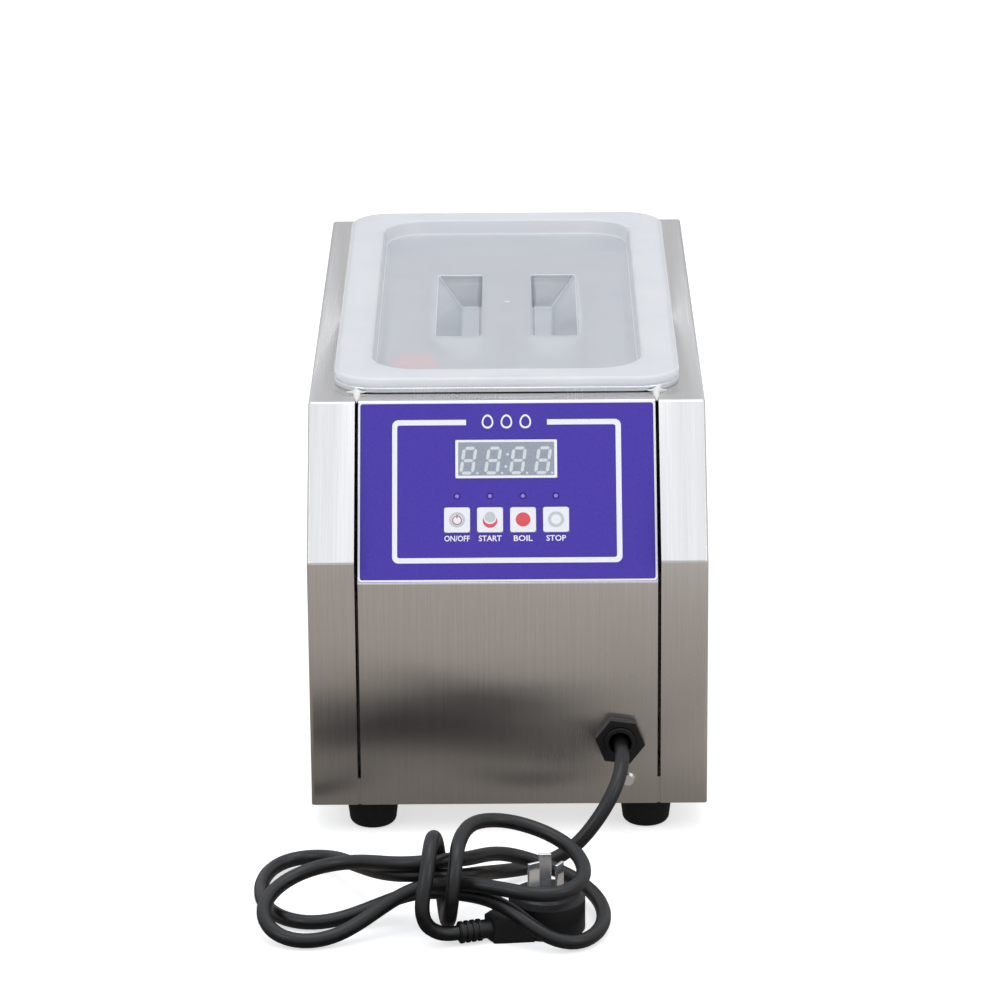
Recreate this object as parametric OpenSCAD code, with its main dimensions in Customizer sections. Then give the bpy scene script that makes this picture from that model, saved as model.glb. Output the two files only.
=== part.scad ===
// Countertop commercial egg boiler: a folded stainless cabinet with a sealed water pan,
// a translucent lid, a lift-out egg basket and a sloped control panel.
// Each piece is laid out in machine coordinates: x from the middle, y rearwards from the
// front face and z up from the floor. place() then moves the front face to front_y.

/* [Water pan] */
// Width over the pan's rolled rim
pan_rim_w = 176; // [166:1:190]
// Length over the pan's rolled rim
pan_rim_l = 325; // [300:1:350]
// Depth of the pan below the top of its rim
pan_depth = 150; // [140:1:165]
// Sheet thickness of the pan
pan_t = 0.8; // [0.6:0.1:1.2]
// Width of the rim along each long side
rim_side_w = 12.5; // [10:0.5:14]
// Width of the rim across each end
rim_end_w = 11.5; // [10:0.5:14]
// Height of the rolled rim above the deck
rim_h = 3; // [2.4:0.2:4]
// Corner radius of the rim
rim_corner_r = 22; // [16:1:28]
// Upright corner radius of the pan's body
pan_corner_r = 32; // [26:1:38]
// Radius between the pan's walls and its floor
pan_floor_r = 14; // [11:1:15]

/* [Cabinet] */
// Sheet thickness of the cabinet
sheet_t = 1; // [0.8:0.1:1.2]
// Deck left beside the pan's rim on each side
side_margin = 12; // [9:0.5:18]
// Deck between the top of the slope and the pan's rim
front_margin = 13.7; // [13.2:0.1:20]
// Deck behind the pan's rim
rear_margin = 13.3; // [13.2:0.1:20]
// Free height between the cabinet's underside and the pan's floor
under_pan = 50; // [46:1:60]
// Depth taken by the side panels' slope
slope_run = 53; // [50:1:60]
// Height taken by the side panels' slope
slope_drop = 67.5; // [62:0.5:74]
// Depth taken by the front panel's slope
panel_run = 54; // [51:1:61]
// Height taken by the front panel's slope
panel_drop = 78.5; // [76:0.5:84]
// Gap between the middle panels and the side panels
panel_gap = 1.7; // [0.8:0.1:2.4]
// Width of the fold at the front panel's top edge
return_w = 12; // [8:0.5:13]
// Clearance between the pan's body and the side panels' deck
deck_clear = 1; // [0.5:0.1:2]
// Height of the base tray's upturned edges
tray_edge_h = 14; // [10:1:18]
// Height of a rubber foot
foot_h = 16; // [12:1:22]
// Diameter of a foot at its top
foot_d = 27; // [20:1:30]
// Distance of the feet from the cabinet's sides
foot_side = 30.5; // [26:0.5:40]
// Distance of the feet from the front and the rear
foot_inset = 17; // [15:1:30]
// Width of the strips that join the middle panels to the side panels
joiner_w = 18; // [14:1:20]

/* [Lid] */
// Height of the lid's flange above the pan's rim
lid_h = 5; // [4:0.5:7]
// Wall thickness of the lid
lid_t = 2.2; // [1.8:0.1:2.6]
// Depth of the lid's recessed panel
recess_depth = 8.4; // [7:0.2:12]
// Flange beside the recess
recess_side = 19; // [18:0.5:28]
// Flange in front of the recess
recess_front = 17; // [15.5:0.1:22]
// Flange behind the recess
recess_rear = 18.2; // [17:0.1:32]
// Corner radius of the recess
recess_r = 24; // [22:1:36]
// Distance of the finger pockets from the recess's front edge
pocket_front = 87.3; // [75:0.1:100]
// Length of a finger pocket
pocket_l = 119; // [95:1:130]
// Width of a finger pocket at its mouth
pocket_w = 24.5; // [20:0.5:26]
// Depth of a finger pocket
pocket_depth = 15.7; // [13:0.1:20]
// Width of the grip bar between the pockets
grip_w = 27; // [24:0.5:32]

/* [Egg basket] */
// Height of the basket's floor above the pan's floor
basket_leg_h = 32; // [28:1:36]
// Height of the basket's walls
basket_wall_h = 86; // [60:1:88]
// Clearance between the basket and the pan's walls
basket_clear = 10.5; // [9:0.5:14]
// Sheet thickness of the basket
basket_t = 1; // [0.8:0.1:1.5]
// Diameter of a perforation
perf_d = 12; // [8:1:14]
// Pitch of the perforations
perf_pitch = 22; // [18:1:28]
// Diameter of the basket's lifting knob
knob_d = 25; // [20:1:28]
// Distance of the lifting post from the middle line
post_x = 48; // [42:1:50]
// Distance of the lifting post from the front face
post_y = 138; // [128:1:150]
// Clearance between the knob and the lid's recessed panel
knob_clear = 3; // [2:0.5:8]

/* [Heater and sensors] */
// Diameter of the heating tube
heater_d = 8; // [6.5:0.5:10]
// Distance of each heater leg from the middle line
heater_x = 25; // [20:1:32]
// Height of the heater above the underside of the pan
heater_rise = 24; // [23:0.5:26]
// Length of the heater's hairpin inside the pan
heater_l = 250; // [180:1:255]
// Diameter of the heater's threaded bushes
bush_d = 12; // [10:1:12.5]
// Diameter of the temperature probe
probe_d = 5; // [4:0.5:6]

/* [Drain] */
// Distance of the drain from the pan's rear rim edge
drain_inset = 46.7; // [44:0.1:60]
// Outer diameter of the drain pipe
drain_d = 16; // [14:1:18]
// Bore of the drain
drain_bore_d = 11; // [8:0.5:12]
// Height of the drain pipe's axis above the floor
drain_z = 41; // [38:0.5:46]
// Length of the valve's lever
lever_l = 50; // [40:1:60]
// Outer diameter of the hose spout
spout_d = 13; // [11:0.5:16]

/* [Controls] */
// Pitch of the keys and of the lamps
key_pitch = 16.5; // [15.6:0.1:18]
// Side of a square key
key_w = 13; // [11:0.5:13.5]
// Travel of a key
key_travel = 0.4; // [0.2:0.05:0.6]
// Height of a released key above the printed film
key_proud = 0.5; // [0.4:0.05:1]
// Distance of the keys up the slope
key_u = 32.6; // [28:0.1:35]
// Distance of the lamps up the slope
lamp_u = 45; // [43:0.1:48]
// Diameter of a lamp
lamp_d = 3; // [2:0.5:3]
// Width of the display window
window_w = 51.6; // [48:0.1:56]
// Height of the display window
window_h = 20.6; // [18:0.1:22]
// Distance of the window's middle up the slope
window_u = 64.4; // [61:0.1:68]
// Thickness of the printed film
film_t = 0.4; // [0.2:0.05:0.6]
// Distance between the panel's sheet and the control board
board_gap = 8.5; // [8:0.1:9.5]

/* [Mains lead] */
// Diameter of the mains cord
cord_d = 7.2; // [6:0.1:8]
// Distance of the cable gland from the middle line
gland_x = 55.9; // [48:0.1:58]
// Height of the cable gland above the cabinet's underside
gland_rise = 35.3; // [32:0.1:44]
// Size of the gland's locknut across its flats
gland_nut_af = 22; // [20:0.5:24]
// Outer diameter of the gland's threaded sleeve
gland_sleeve_d = 16; // [14:0.5:17]
// Bore of the gland's sleeve
gland_bore_d = 11; // [9.5:0.5:12]

/* [Hidden] */
$fn = 48;
fine = 32;
eps = 0.01;

// Running and seating clearances
seat = 0.2;
run_fit = 0.05;

// Heights and lengths that follow from the driving sizes
cabinet_h = under_pan + pan_depth - rim_h;
cabinet_w = pan_rim_w + 2 * side_margin;
foot_x = cabinet_w / 2 - foot_side;
cabinet_d = slope_run + front_margin + pan_rim_l + rear_margin;
deck_z = foot_h + cabinet_h;
tray_z = foot_h + sheet_t;
pan_half_w = pan_rim_w / 2 - rim_side_w;
pan_y0 = slope_run + front_margin;
pan_body_y0 = pan_y0 + rim_end_w;
pan_body_l = pan_rim_l - 2 * rim_end_w;
pan_mid_y = pan_y0 + pan_rim_l / 2;
pan_z = deck_z + rim_h - pan_depth;
pan_floor_z = pan_z + pan_t;
rim_z = deck_z + rim_h;
strip_x = pan_half_w + deck_clear;
panel_half_w = strip_x - panel_gap;
joiner_t = 1.2;
joiner_x = strip_x - panel_gap / 2 - joiner_w / 2;
slope_a = atan2(panel_drop, panel_run);
slope_l = norm([panel_run, panel_drop]);

// Fasteners
hex_k = 2 / sqrt(3);
foot_screw_d = 5;
rear_screw_d = 4;
rear_screw_zs = [0.2, 0.5, 0.8] * cabinet_h;
screw_head_h = 2;

// Drain
drain_y = pan_y0 + pan_rim_l - drain_inset;
valve_y0 = cabinet_d + 3;
valve_inlet_l = 10.5;
valve_barrel_l = 20;
valve_barrel_d = 24;
valve_outlet_l = 8;
spout_l = 15;
ball_d = 17;
stem_d = 6;
valve_axis_y = valve_y0 + valve_inlet_l + valve_barrel_l / 2;
valve_end_y = valve_y0 + valve_inlet_l + valve_barrel_l + valve_outlet_l + spout_l;
lever_z = drain_z + valve_barrel_d / 2 + 4;

// Basket and lid
lid_z = rim_z + lid_h;
recess_z = lid_z - recess_depth;
recess_half_w = pan_rim_w / 2 - recess_side;
basket_z = pan_floor_z + basket_leg_h;
basket_w = 2 * (pan_half_w - pan_t - basket_clear);
basket_l = pan_body_l - 2 * (pan_t + basket_clear) - 2;
knob_top = recess_z - lid_t - knob_clear;
knob_h = 9;
post_d = 6;

// Control panel, measured on the slope: x, u up the slope and w out of it
controls_x = -0.4;
key_xs = [for (i = [0:3]) controls_x + (i - 1.5) * key_pitch];
board_w = 124;
board_u0 = 13;
board_u1 = 81;
board_t = 1.6;
board_top = -sheet_t - board_gap;
key_clear = 0.2;
standoff_xs = [-board_w / 2 + 6, board_w / 2 - 6];
standoff_us = [board_u0 + 6, board_u1 - 6];
standoff_af = 5.5;
stud_d = 3;
switch_h = 3.5;
switch_pin_h = 0.5;

// Power board on the base tray
power_x0 = -72;
power_y0 = 92;
power_w = 92;
power_l = 80;
power_rise = 6;

// Heater and gland heights
heater_z = pan_z + heater_rise;
wall_y = pan_body_y0;
gland_z = foot_h + gland_rise;
gland_flange_t = 5;
gland_nut_t = 6;
gland_end = -gland_nut_t - 1.5;
gland_seal_y = 8;
inner_l = 33;
// The part's origin is under the middle of the machine, measured without its cord
front_y = -(valve_end_y + gland_end) / 2;
earth_x = 60;
earth_z = foot_h + 13.1;
block_x = 54;
block_y = 62;
block_w = 34;
block_l = 20;
block_h = 18;

// Mains cord: points chosen by hand as x, distance behind the front face and height.
// The curve is a uniform cubic B-spline over them.
lead_route = [[gland_x, gland_seal_y, gland_z], [gland_x, -6, gland_z],
    [57, -22, 50], [55, -36, 44], [49, -45, 34], [41, -49, 23], [32, -51, 13],
    [20, -53, 6.5], [7, -57, 4.6], [-5, -66, 7], [-12, -79, 12], [-17, -92, 17],
    [-23, -104, 21]];
left_loop_1 = [[-33, -110, 24.5], [-45, -110, 24.5], [-56, -104, 22], [-66, -90, 18],
    [-74, -74, 14], [-82, -58, 10.5], [-90, -48, 8], [-101, -43, 6], [-112, -46, 5],
    [-119, -56, 4.3], [-122, -69, 4], [-122, -84, 4], [-119, -100, 4], [-111, -114, 4],
    [-98, -121, 4], [-84, -120, 5], [-71, -116, 8], [-59, -113, 12], [-47, -112, 16]];
right_loop_1 = [[-35, -115, 18], [-23, -118, 18], [-12, -123, 18], [-3, -132, 17.8],
    [6, -141, 15], [17, -147, 8], [29, -148, 4.4], [39, -141, 4], [45, -128, 5],
    [46, -112, 6], [42, -96, 7.5], [33, -82, 9.5], [21, -73, 12], [8, -70, 16],
    [-4, -75, 21], [-13, -87, 25], [-21, -101, 28.5]];
left_loop_2 = [[-32, -112, 33], [-45, -114, 32], [-58, -108, 29.5], [-70, -99, 27],
    [-81, -93, 24], [-93, -91, 21], [-105, -95, 18], [-114, -104, 15], [-119, -116, 12],
    [-118, -128, 8.5], [-112, -137, 5.4], [-102, -142, 4], [-90, -141, 4], [-79, -136, 6],
    [-68, -130, 11], [-57, -124, 17], [-46, -121, 22]];
right_loop_2 = [[-34, -121, 25], [-22, -123, 25.6], [-11, -128, 26], [0, -134, 26.4],
    [11, -139, 26.2], [22, -139, 26], [31, -133, 26.6], [36, -122, 27.5],
    [36, -109, 29.5], [31, -97, 32], [22, -88, 35], [11, -83, 38], [-1, -82, 41],
    [-12, -87, 43.5], [-20, -97, 45]];
wrap_r = 20;
wraps = [for (k = [1:15])
    let (a = 30 * (k - 1), u = min(k / 12, 1), r = wrap_r + 1.5 * u)
    [-23 - 13 * k / 12, -114 - 5 * u - r * sin(a), r + 4 + r * cos(a)]];
relief_end = [-24.5, -137.2, 6];
boot_end = [-6, -131, 6];
relief_dir = (relief_end - boot_end) / norm(relief_end - boot_end);
cord_route = concat(lead_route, left_loop_1, right_loop_1, left_loop_2, right_loop_2, wraps,
    [[-41, -142, 28.5], [-42, -144, 20], [-40, -143, 11.5],
     relief_end + 8 * relief_dir, relief_end]);

// Plug on the end of the cord, standing on its back
plug_at = [18, -117];
plug_r = 18.5;
plug_h = 18;
boot_r = 7;
boot_h = 12;
blade_w = 6.3;
blade_t = 1.6;
blade_l = 17;
blade_pitch = 13.7;
blade_seat = 5;

colour_steel = "silver";
colour_bright = "gainsboro";
colour_black = [0.12, 0.12, 0.13];
colour_brass = [0.78, 0.62, 0.3];
colour_board = [0.1, 0.4, 0.22];

// ---------- shared shapes ----------

// Moves machine coordinates into the part's own frame
module place() {
    translate([0, front_y, 0])
        children();
}

// Turns local x, u, w into machine coordinates on the sloped front panel
module on_slope() {
    translate([0, 0, deck_z - panel_drop])
        rotate([slope_a, 0, 0])
            children();
}

// Depth and height of a point on the slope
function slope_yz(u, w) =
    [u * cos(slope_a) - w * sin(slope_a),
     deck_z - panel_drop + u * sin(slope_a) + w * cos(slope_a)];

// Upright plate with rounded corners, centred on x
module rounded_plate(w, l, h, r) {
    linear_extrude(h)
        rounded_outline(w, l, r);
}

// Rounded rectangle whose front edge lies on y = 0
module rounded_outline(w, l, r) {
    translate([-w / 2 + r, 0])
        square([w - 2 * r, l]);
    translate([-w / 2, r])
        square([w, l - 2 * r]);
    for (x = [-w / 2 + r, w / 2 - r], y = [r, l - r])
        translate([x, y])
            circle(r);
}

// Centred square with rounded corners
module rounded_square(w, h, r) {
    translate([0, -h / 2])
        rounded_outline(w, h, r);
}

// Drawn box with upright corner radius rc and floor radius rf
module drawn_block(w, l, h, rc, rf) {
    for (x = [-w / 2 + rc, w / 2 - rc], y = [rc, l - rc])
        translate([x, y, 0])
            rotate_extrude($fn = 64)
                drum_profile(rc, h, rf);
    translate([0, l - rc, 0])
        rotate([90, 0, 0])
            linear_extrude(l - 2 * rc)
                floor_profile(w, h, rf);
    translate([-w / 2 + rc, l / 2, 0])
        rotate([90, 0, 90])
            linear_extrude(w - 2 * rc)
                floor_profile(l, h, rf);
}

module drum_profile(r, h, rf) {
    square([r - rf, h]);
    translate([0, rf])
        square([r, h - rf]);
    translate([r - rf, rf])
        intersection() {
            circle(rf);
            translate([0, -rf])
                square([rf, 2 * rf]);
        }
}

module floor_profile(w, h, rf) {
    translate([-w / 2 + rf, 0])
        square([w - 2 * rf, h]);
    translate([-w / 2, rf])
        square([w, h - rf]);
    for (x = [-w / 2 + rf, w / 2 - rf])
        translate([x, rf])
            circle(rf);
}

// Hexagonal prism, across flats af
module hex(af, h) {
    cylinder(d = af * hex_k, h = h, $fn = 6);
}

// Turns a shape made along z to run along y, rearwards from y = 0
module along_y() {
    rotate([-90, 0, 0])
        children();
}

// Pan-head screw along +y with its head's bearing face on y = 0
module screw_y(d, head_d, head_h, l) {
    along_y()
        cylinder(d = d, h = l, $fn = 24);
    translate([0, -head_h, 0])
        along_y()
            cylinder(d1 = head_d * 0.8, d2 = head_d, h = head_h, $fn = 24);
}

// Hex nut along +y with a clear hole
module nut_y(af, d, h) {
    difference() {
        along_y()
            hex(af, h);
        translate([0, -1, 0])
            along_y()
                cylinder(d = d, h = h + 2, $fn = 32);
    }
}

// ---------- cabinet ----------

// Side view of a slope sheet's outside, moved inwards by t
function slope_points(run, drop, t) =
    let (bend = deck_z - drop, len = norm([run, drop]))
    [[t, bend + (drop * t - t * len) / run], [(run * (drop - t) + t * len) / drop, deck_z - t]];

// Side view of the cabinet, moved inwards by t and cut off at the height base
module side_outline(t, base) {
    polygon(concat([[t, base]], slope_points(slope_run, slope_drop, t),
        [[cabinet_d - t, deck_z - t], [cabinet_d - t, base]]));
}

module side_panel(side) {
    place()
        color(colour_steel)
            mirror([side < 0 ? 1 : 0, 0, 0])
                difference() {
                    translate([strip_x, 0, 0])
                        rotate([90, 0, 90])
                            linear_extrude(cabinet_w / 2 - strip_x)
                                side_outline(0, foot_h);
                    translate([strip_x - 1, 0, 0])
                        rotate([90, 0, 90])
                            linear_extrude(cabinet_w / 2 - sheet_t - strip_x + 1)
                                side_outline(sheet_t, foot_h - 1);
                }
}

// Folded front panel: upright face, slope and a narrow fold on the deck
module front_panel() {
    place()
        color(colour_steel)
            difference() {
                translate([-panel_half_w, 0, 0])
                    rotate([90, 0, 90])
                        linear_extrude(2 * panel_half_w)
                            polygon(concat([[0, foot_h]],
                                slope_points(panel_run, panel_drop, 0),
                                [[panel_run + return_w, deck_z],
                                 [panel_run + return_w, deck_z - sheet_t]],
                                [for (i = [1, 0])
                                    slope_points(panel_run, panel_drop, sheet_t)[i]],
                                [[sheet_t, foot_h]]));
                front_holes();
                on_slope()
                    translate([0, 0, -sheet_t - 1])
                        linear_extrude(sheet_t + 2)
                            panel_cutouts(0);
            }
}

module front_holes() {
    translate([gland_x, -1, gland_z])
        along_y()
            cylinder(d = gland_sleeve_d + 2 * seat, h = sheet_t + 2);
    translate([earth_x, -1, earth_z])
        along_y()
            cylinder(d = rear_screw_d + 2 * seat, h = sheet_t + 2);
}

// Openings for the window, the lamps and the keys, in the plane of the slope
module panel_cutouts(extra) {
    translate([controls_x, window_u])
        square([window_w + extra, window_h + extra], center = true);
    for (x = key_xs) {
        translate([x, lamp_u])
            circle(d = lamp_d + 2 * seat, $fn = 24);
        translate([x, key_u])
            square(key_w + 2 * key_clear, center = true);
    }
}

// Rear cover with vent slots, the drain hole and a fold under the deck's rear edge
module rear_cover() {
    slot_w = 46;
    slot_h = 3;
    place()
        color(colour_steel)
            difference() {
                union() {
                    translate([-panel_half_w, cabinet_d - sheet_t, foot_h])
                        cube([2 * panel_half_w, sheet_t, cabinet_h]);
                    translate([-panel_half_w, cabinet_d - return_w, deck_z - sheet_t])
                        cube([2 * panel_half_w, return_w, sheet_t]);
                }
                for (x = [-30, 30], i = [0:7])
                    translate([x - slot_w / 2, cabinet_d - sheet_t - 1,
                               deck_z - 35 - 8 * i])
                        cube([slot_w, sheet_t + 2, slot_h]);
                translate([0, cabinet_d - sheet_t - 1, drain_z])
                    along_y()
                        cylinder(d = drain_d + 6, h = sheet_t + 2);
                rear_screw_places(cabinet_d - sheet_t - 1)
                    along_y()
                        cylinder(d = rear_screw_d + 2 * seat, h = sheet_t + 2, $fn = 24);
            }
}

module rear_screw_places(y) {
    for (s = [-1, 1], z = rear_screw_zs)
        translate([s * (panel_half_w - joiner_w / 4), y, foot_h + z])
            children();
}

// Flat tray with four upturned edges, spot-welded inside the side panels
module base_tray() {
    w = cabinet_w - 2 * sheet_t;
    l = cabinet_d - 2 * sheet_t;
    place()
        color(colour_steel)
            difference() {
                translate([-w / 2, sheet_t, foot_h])
                    cube([w, l, tray_edge_h]);
                translate([-w / 2 + sheet_t, 2 * sheet_t, tray_z])
                    cube([w - 2 * sheet_t, l - 2 * sheet_t, tray_edge_h]);
                foot_places()
                    translate([0, 0, foot_h - 1])
                        cylinder(d = foot_screw_d + 2 * seat, h = sheet_t + 2, $fn = 24);
                for (i = [0:5])
                    translate([-30, 205 + 14 * i, foot_h - 1])
                        cube([60, 4, sheet_t + 2]);
                translate([earth_x, -1, earth_z])
                    along_y()
                        cylinder(d = rear_screw_d + 2 * seat, h = 3 * sheet_t + 2);
                translate([0, cabinet_d - 3 * sheet_t, drain_z])
                    along_y()
                        cylinder(d = drain_d + 11, h = 3 * sheet_t);
            }
}

module foot_places() {
    for (x = [-foot_x, foot_x], y = [foot_inset, cabinet_d - foot_inset])
        translate([x, y, 0])
            children();
}

// Strips behind the seams that hold the middle panels to the side panels
module panel_joiners() {
    front_z = gland_z + gland_nut_af * hex_k / 2 + 2;
    rear_z = foot_h + tray_edge_h + 2;
    front_l = deck_z - max(slope_drop, panel_drop) - 8 - front_z;
    rear_l = deck_z - sheet_t - 10 - rear_z;
    place()
        color(colour_steel)
            for (s = [-1, 1]) {
                translate([s * joiner_x - joiner_w / 2, sheet_t, front_z])
                    cube([joiner_w, joiner_t, front_l]);
                difference() {
                    translate([s * joiner_x - joiner_w / 2,
                               cabinet_d - sheet_t - joiner_t, rear_z])
                        cube([joiner_w, joiner_t, rear_l]);
                    rear_screw_places(cabinet_d - sheet_t - joiner_t - 1)
                        along_y()
                            cylinder(d = rear_screw_d + 2 * run_fit, h = joiner_t + 2,
                                     $fn = 24);
                }
            }
}

module rear_screws() {
    place()
        color(colour_bright)
            rear_screw_places(cabinet_d)
                rotate([0, 0, 180])
                    screw_y(rear_screw_d, 2 * rear_screw_d, screw_head_h, 8);
}

// Rubber foot with a rounded lower edge and a recess for its screw
module foot(sx, sy) {
    low_r = foot_d / 2 - 1.5;
    round_r = 4;
    place()
        color(colour_black)
            translate([sx * foot_x, sy < 0 ? foot_inset : cabinet_d - foot_inset, 0])
                difference() {
                    rotate_extrude()
                        union() {
                            polygon([[0, round_r], [low_r, round_r], [foot_d / 2, foot_h],
                                     [0, foot_h]]);
                            square([low_r - round_r, round_r]);
                            translate([low_r - round_r, round_r])
                                intersection() {
                                    circle(round_r);
                                    translate([0, -round_r])
                                        square([round_r, 2 * round_r]);
                                }
                        }
                    translate([0, 0, -1])
                        cylinder(d = 2.1 * foot_screw_d, h = foot_h * 0.5 + 1);
                    cylinder(d = foot_screw_d + 2 * seat, h = foot_h + 1, $fn = 24);
                }
}

module foot_screws() {
    head_h = 3.5;
    place()
        color(colour_bright)
            foot_places()
                translate([0, 0, foot_h * 0.5]) {
                    translate([0, 0, -head_h])
                        cylinder(d1 = 1.5 * foot_screw_d, d2 = 1.9 * foot_screw_d,
                                 h = head_h, $fn = 24);
                    cylinder(d = foot_screw_d, h = foot_h * 0.5 + sheet_t + 6, $fn = 24);
                }
}

module foot_nuts() {
    place()
        color(colour_bright)
            foot_places()
                translate([0, 0, tray_z])
                    difference() {
                        hex(1.6 * foot_screw_d, 4);
                        translate([0, 0, -1])
                            cylinder(d = foot_screw_d + 2 * run_fit, h = 6, $fn = 24);
                    }
}

// ---------- water pan ----------

// Deep-drawn pan with a flat rim turned down at its edge
module water_pan() {
    lip_w = 1.4;
    inner_w = 2 * (pan_half_w - pan_t);
    inner_l = pan_body_l - 2 * pan_t;
    place()
        color(colour_bright)
            difference() {
                union() {
                    translate([0, pan_body_y0, pan_z])
                        drawn_block(2 * pan_half_w, pan_body_l, pan_depth, pan_corner_r,
                                    pan_floor_r);
                    translate([0, pan_y0, deck_z])
                        difference() {
                            rounded_plate(pan_rim_w, pan_rim_l, rim_h, rim_corner_r);
                            translate([0, lip_w, -1])
                                rounded_plate(pan_rim_w - 2 * lip_w, pan_rim_l - 2 * lip_w,
                                              rim_h + 1 - pan_t, rim_corner_r - lip_w);
                        }
                }
                translate([0, pan_body_y0 + pan_t, pan_floor_z])
                    drawn_block(inner_w, inner_l, pan_depth, pan_corner_r - pan_t,
                                pan_floor_r - pan_t);
                for (x = [-heater_x, heater_x])
                    wall_hole(x, bush_d);
                wall_hole(0, probe_d + 3);
                translate([0, drain_y, pan_z - 1])
                    cylinder(d = drain_d + 2 * seat, h = pan_t + 2);
            }
}

module wall_hole(x, d) {
    translate([x, wall_y - 1, heater_z])
        along_y()
            cylinder(d = d + 2 * seat, h = pan_t + 2);
}

// Sealant under the long sides of the rim, with a blob at each front corner
module rim_sealant() {
    x0 = strip_x + 0.6;
    x1 = pan_rim_w / 2 - 1.4 - 0.4;
    bead_d = 2.4;
    place()
        color("white")
            for (s = [-1, 1]) {
                translate([s > 0 ? x0 : -x1, pan_y0 + rim_corner_r, deck_z])
                    cube([x1 - x0, pan_rim_l - 2 * rim_corner_r, rim_h - pan_t]);
                translate([s > 0 ? x0 : -x1 + 4, pan_y0 - bead_d / 2, deck_z + bead_d / 2])
                    rotate([0, 90, 0])
                        cylinder(d = bead_d, h = x1 - x0 - 4, $fn = 24);
            }
}

// ---------- heater, probe and cut-out ----------

// Hairpin heating tube with a threaded bush and a terminal on each leg
module heater_element() {
    flange_t = 4;
    gasket_t = 1.5;
    stud_l = 14;
    y_in = wall_y + pan_t + gasket_t;
    place()
        color("dimgray")
            union() {
                for (x = [-heater_x, heater_x])
                    translate([x, 0, heater_z]) {
                        translate([0, y_in, 0])
                            along_y()
                                hex(bush_d + 5, flange_t);
                        translate([0, wall_y - stud_l, 0])
                            along_y()
                                cylinder(d = bush_d, h = stud_l + pan_t + gasket_t + 1);
                        translate([0, wall_y - stud_l - 8, 0])
                            along_y()
                                cylinder(d = heater_d, h = 9);
                        translate([-0.4, wall_y - stud_l - 17, -3])
                            cube([0.8, 10, 6]);
                        translate([0, y_in, 0])
                            along_y()
                                cylinder(d = heater_d, h = heater_l - heater_x);
                    }
                translate([0, y_in + heater_l - heater_x, heater_z])
                    rotate_extrude(angle = 180)
                        translate([heater_x, 0])
                            circle(d = heater_d);
            }
}

module heater_gaskets() {
    place()
        color("firebrick")
            for (x = [-heater_x, heater_x])
                translate([x, wall_y + pan_t, heater_z])
                    difference() {
                        along_y()
                            cylinder(d = bush_d + 5, h = 1.5);
                        translate([0, -1, 0])
                            along_y()
                                cylinder(d = bush_d + 2 * seat, h = 4);
                    }
}

module heater_nuts() {
    place()
        color(colour_brass)
            for (x = [-heater_x, heater_x])
                translate([x, wall_y - 6, heater_z])
                    nut_y(bush_d + 5, bush_d + 2 * run_fit, 6);
}

// Probe tube with a threaded neck and a collar inside the pan
module temperature_probe() {
    neck_d = probe_d + 3;
    place()
        color(colour_bright)
            translate([0, 0, heater_z]) {
                translate([0, wall_y - 12, 0])
                    along_y()
                        cylinder(d = neck_d, h = 12 + pan_t + 1);
                translate([0, wall_y + pan_t, 0])
                    along_y()
                        cylinder(d = neck_d + 5, h = 3);
                translate([0, wall_y + pan_t, 0])
                    along_y()
                        cylinder(d = probe_d, h = 70);
            }
}

module probe_nut() {
    place()
        color(colour_brass)
            translate([0, wall_y - 5, heater_z])
                nut_y(probe_d + 8, probe_d + 3 + 2 * run_fit, 5);
}

// Snap-disc safety cut-out clamped on the pan's front wall
module thermal_cutout() {
    place()
        color(colour_black)
            translate([0, 0, pan_z + 0.62 * pan_depth]) {
                translate([0, wall_y - 1, 0])
                    along_y()
                        cylinder(d = 23, h = 1);
                translate([0, wall_y - 7, 0])
                    along_y()
                        cylinder(d = 16, h = 7);
                for (x = [-4, 4])
                    translate([x - 0.4, wall_y - 15, -3])
                        cube([0.8, 9, 6]);
            }
}

// ---------- drain ----------

module drain_spigot() {
    place()
        color(colour_brass)
            translate([0, drain_y, 0])
                difference() {
                    union() {
                        translate([0, 0, pan_floor_z])
                            cylinder(d = drain_d + 10, h = 2.5);
                        translate([0, 0, drain_z + 4])
                            cylinder(d = drain_d, h = pan_floor_z + 1 - drain_z - 4);
                    }
                    translate([0, 0, drain_z])
                        cylinder(d = drain_bore_d, h = pan_depth);
                }
}

module drain_nut() {
    h = 6;
    place()
        color(colour_brass)
            translate([0, drain_y, pan_z - h])
                difference() {
                    hex(drain_d + 7, h);
                    translate([0, 0, -1])
                        cylinder(d = drain_d + 2 * run_fit, h = h + 2);
                }
}

// Elbow under the pan with its pipe to the rear
module drain_elbow() {
    top = pan_z - 6 - 1;
    block_d = drain_d + 6;
    place()
        color(colour_brass)
            difference() {
                union() {
                    translate([0, drain_y, drain_z - block_d / 2])
                        cylinder(d = block_d, h = top - drain_z + block_d / 2);
                    translate([0, drain_y, drain_z])
                        along_y()
                            cylinder(d = drain_d,
                                     h = valve_y0 + valve_inlet_l - drain_y - 1);
                }
                translate([0, drain_y, drain_z + 4])
                    cylinder(d = drain_d + 2 * run_fit, h = pan_depth);
                translate([0, drain_y, drain_z])
                    cylinder(d = drain_bore_d, h = pan_depth);
                translate([0, drain_y, drain_z])
                    along_y()
                        cylinder(d = drain_bore_d, h = cabinet_d);
            }
}

module drain_grommet() {
    place()
        color(colour_black)
            translate([0, cabinet_d - sheet_t - 1.5, drain_z])
                difference() {
                    union() {
                        along_y()
                            cylinder(d = drain_d + 6 - 2 * run_fit, h = sheet_t + 3);
                        along_y()
                            cylinder(d = drain_d + 10, h = 1.5);
                        translate([0, sheet_t + 1.5, 0])
                            along_y()
                                cylinder(d = drain_d + 10, h = 1.5);
                    }
                    translate([0, -1, 0])
                        along_y()
                            cylinder(d = drain_d + 2 * run_fit, h = sheet_t + 5);
                }
}

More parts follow.
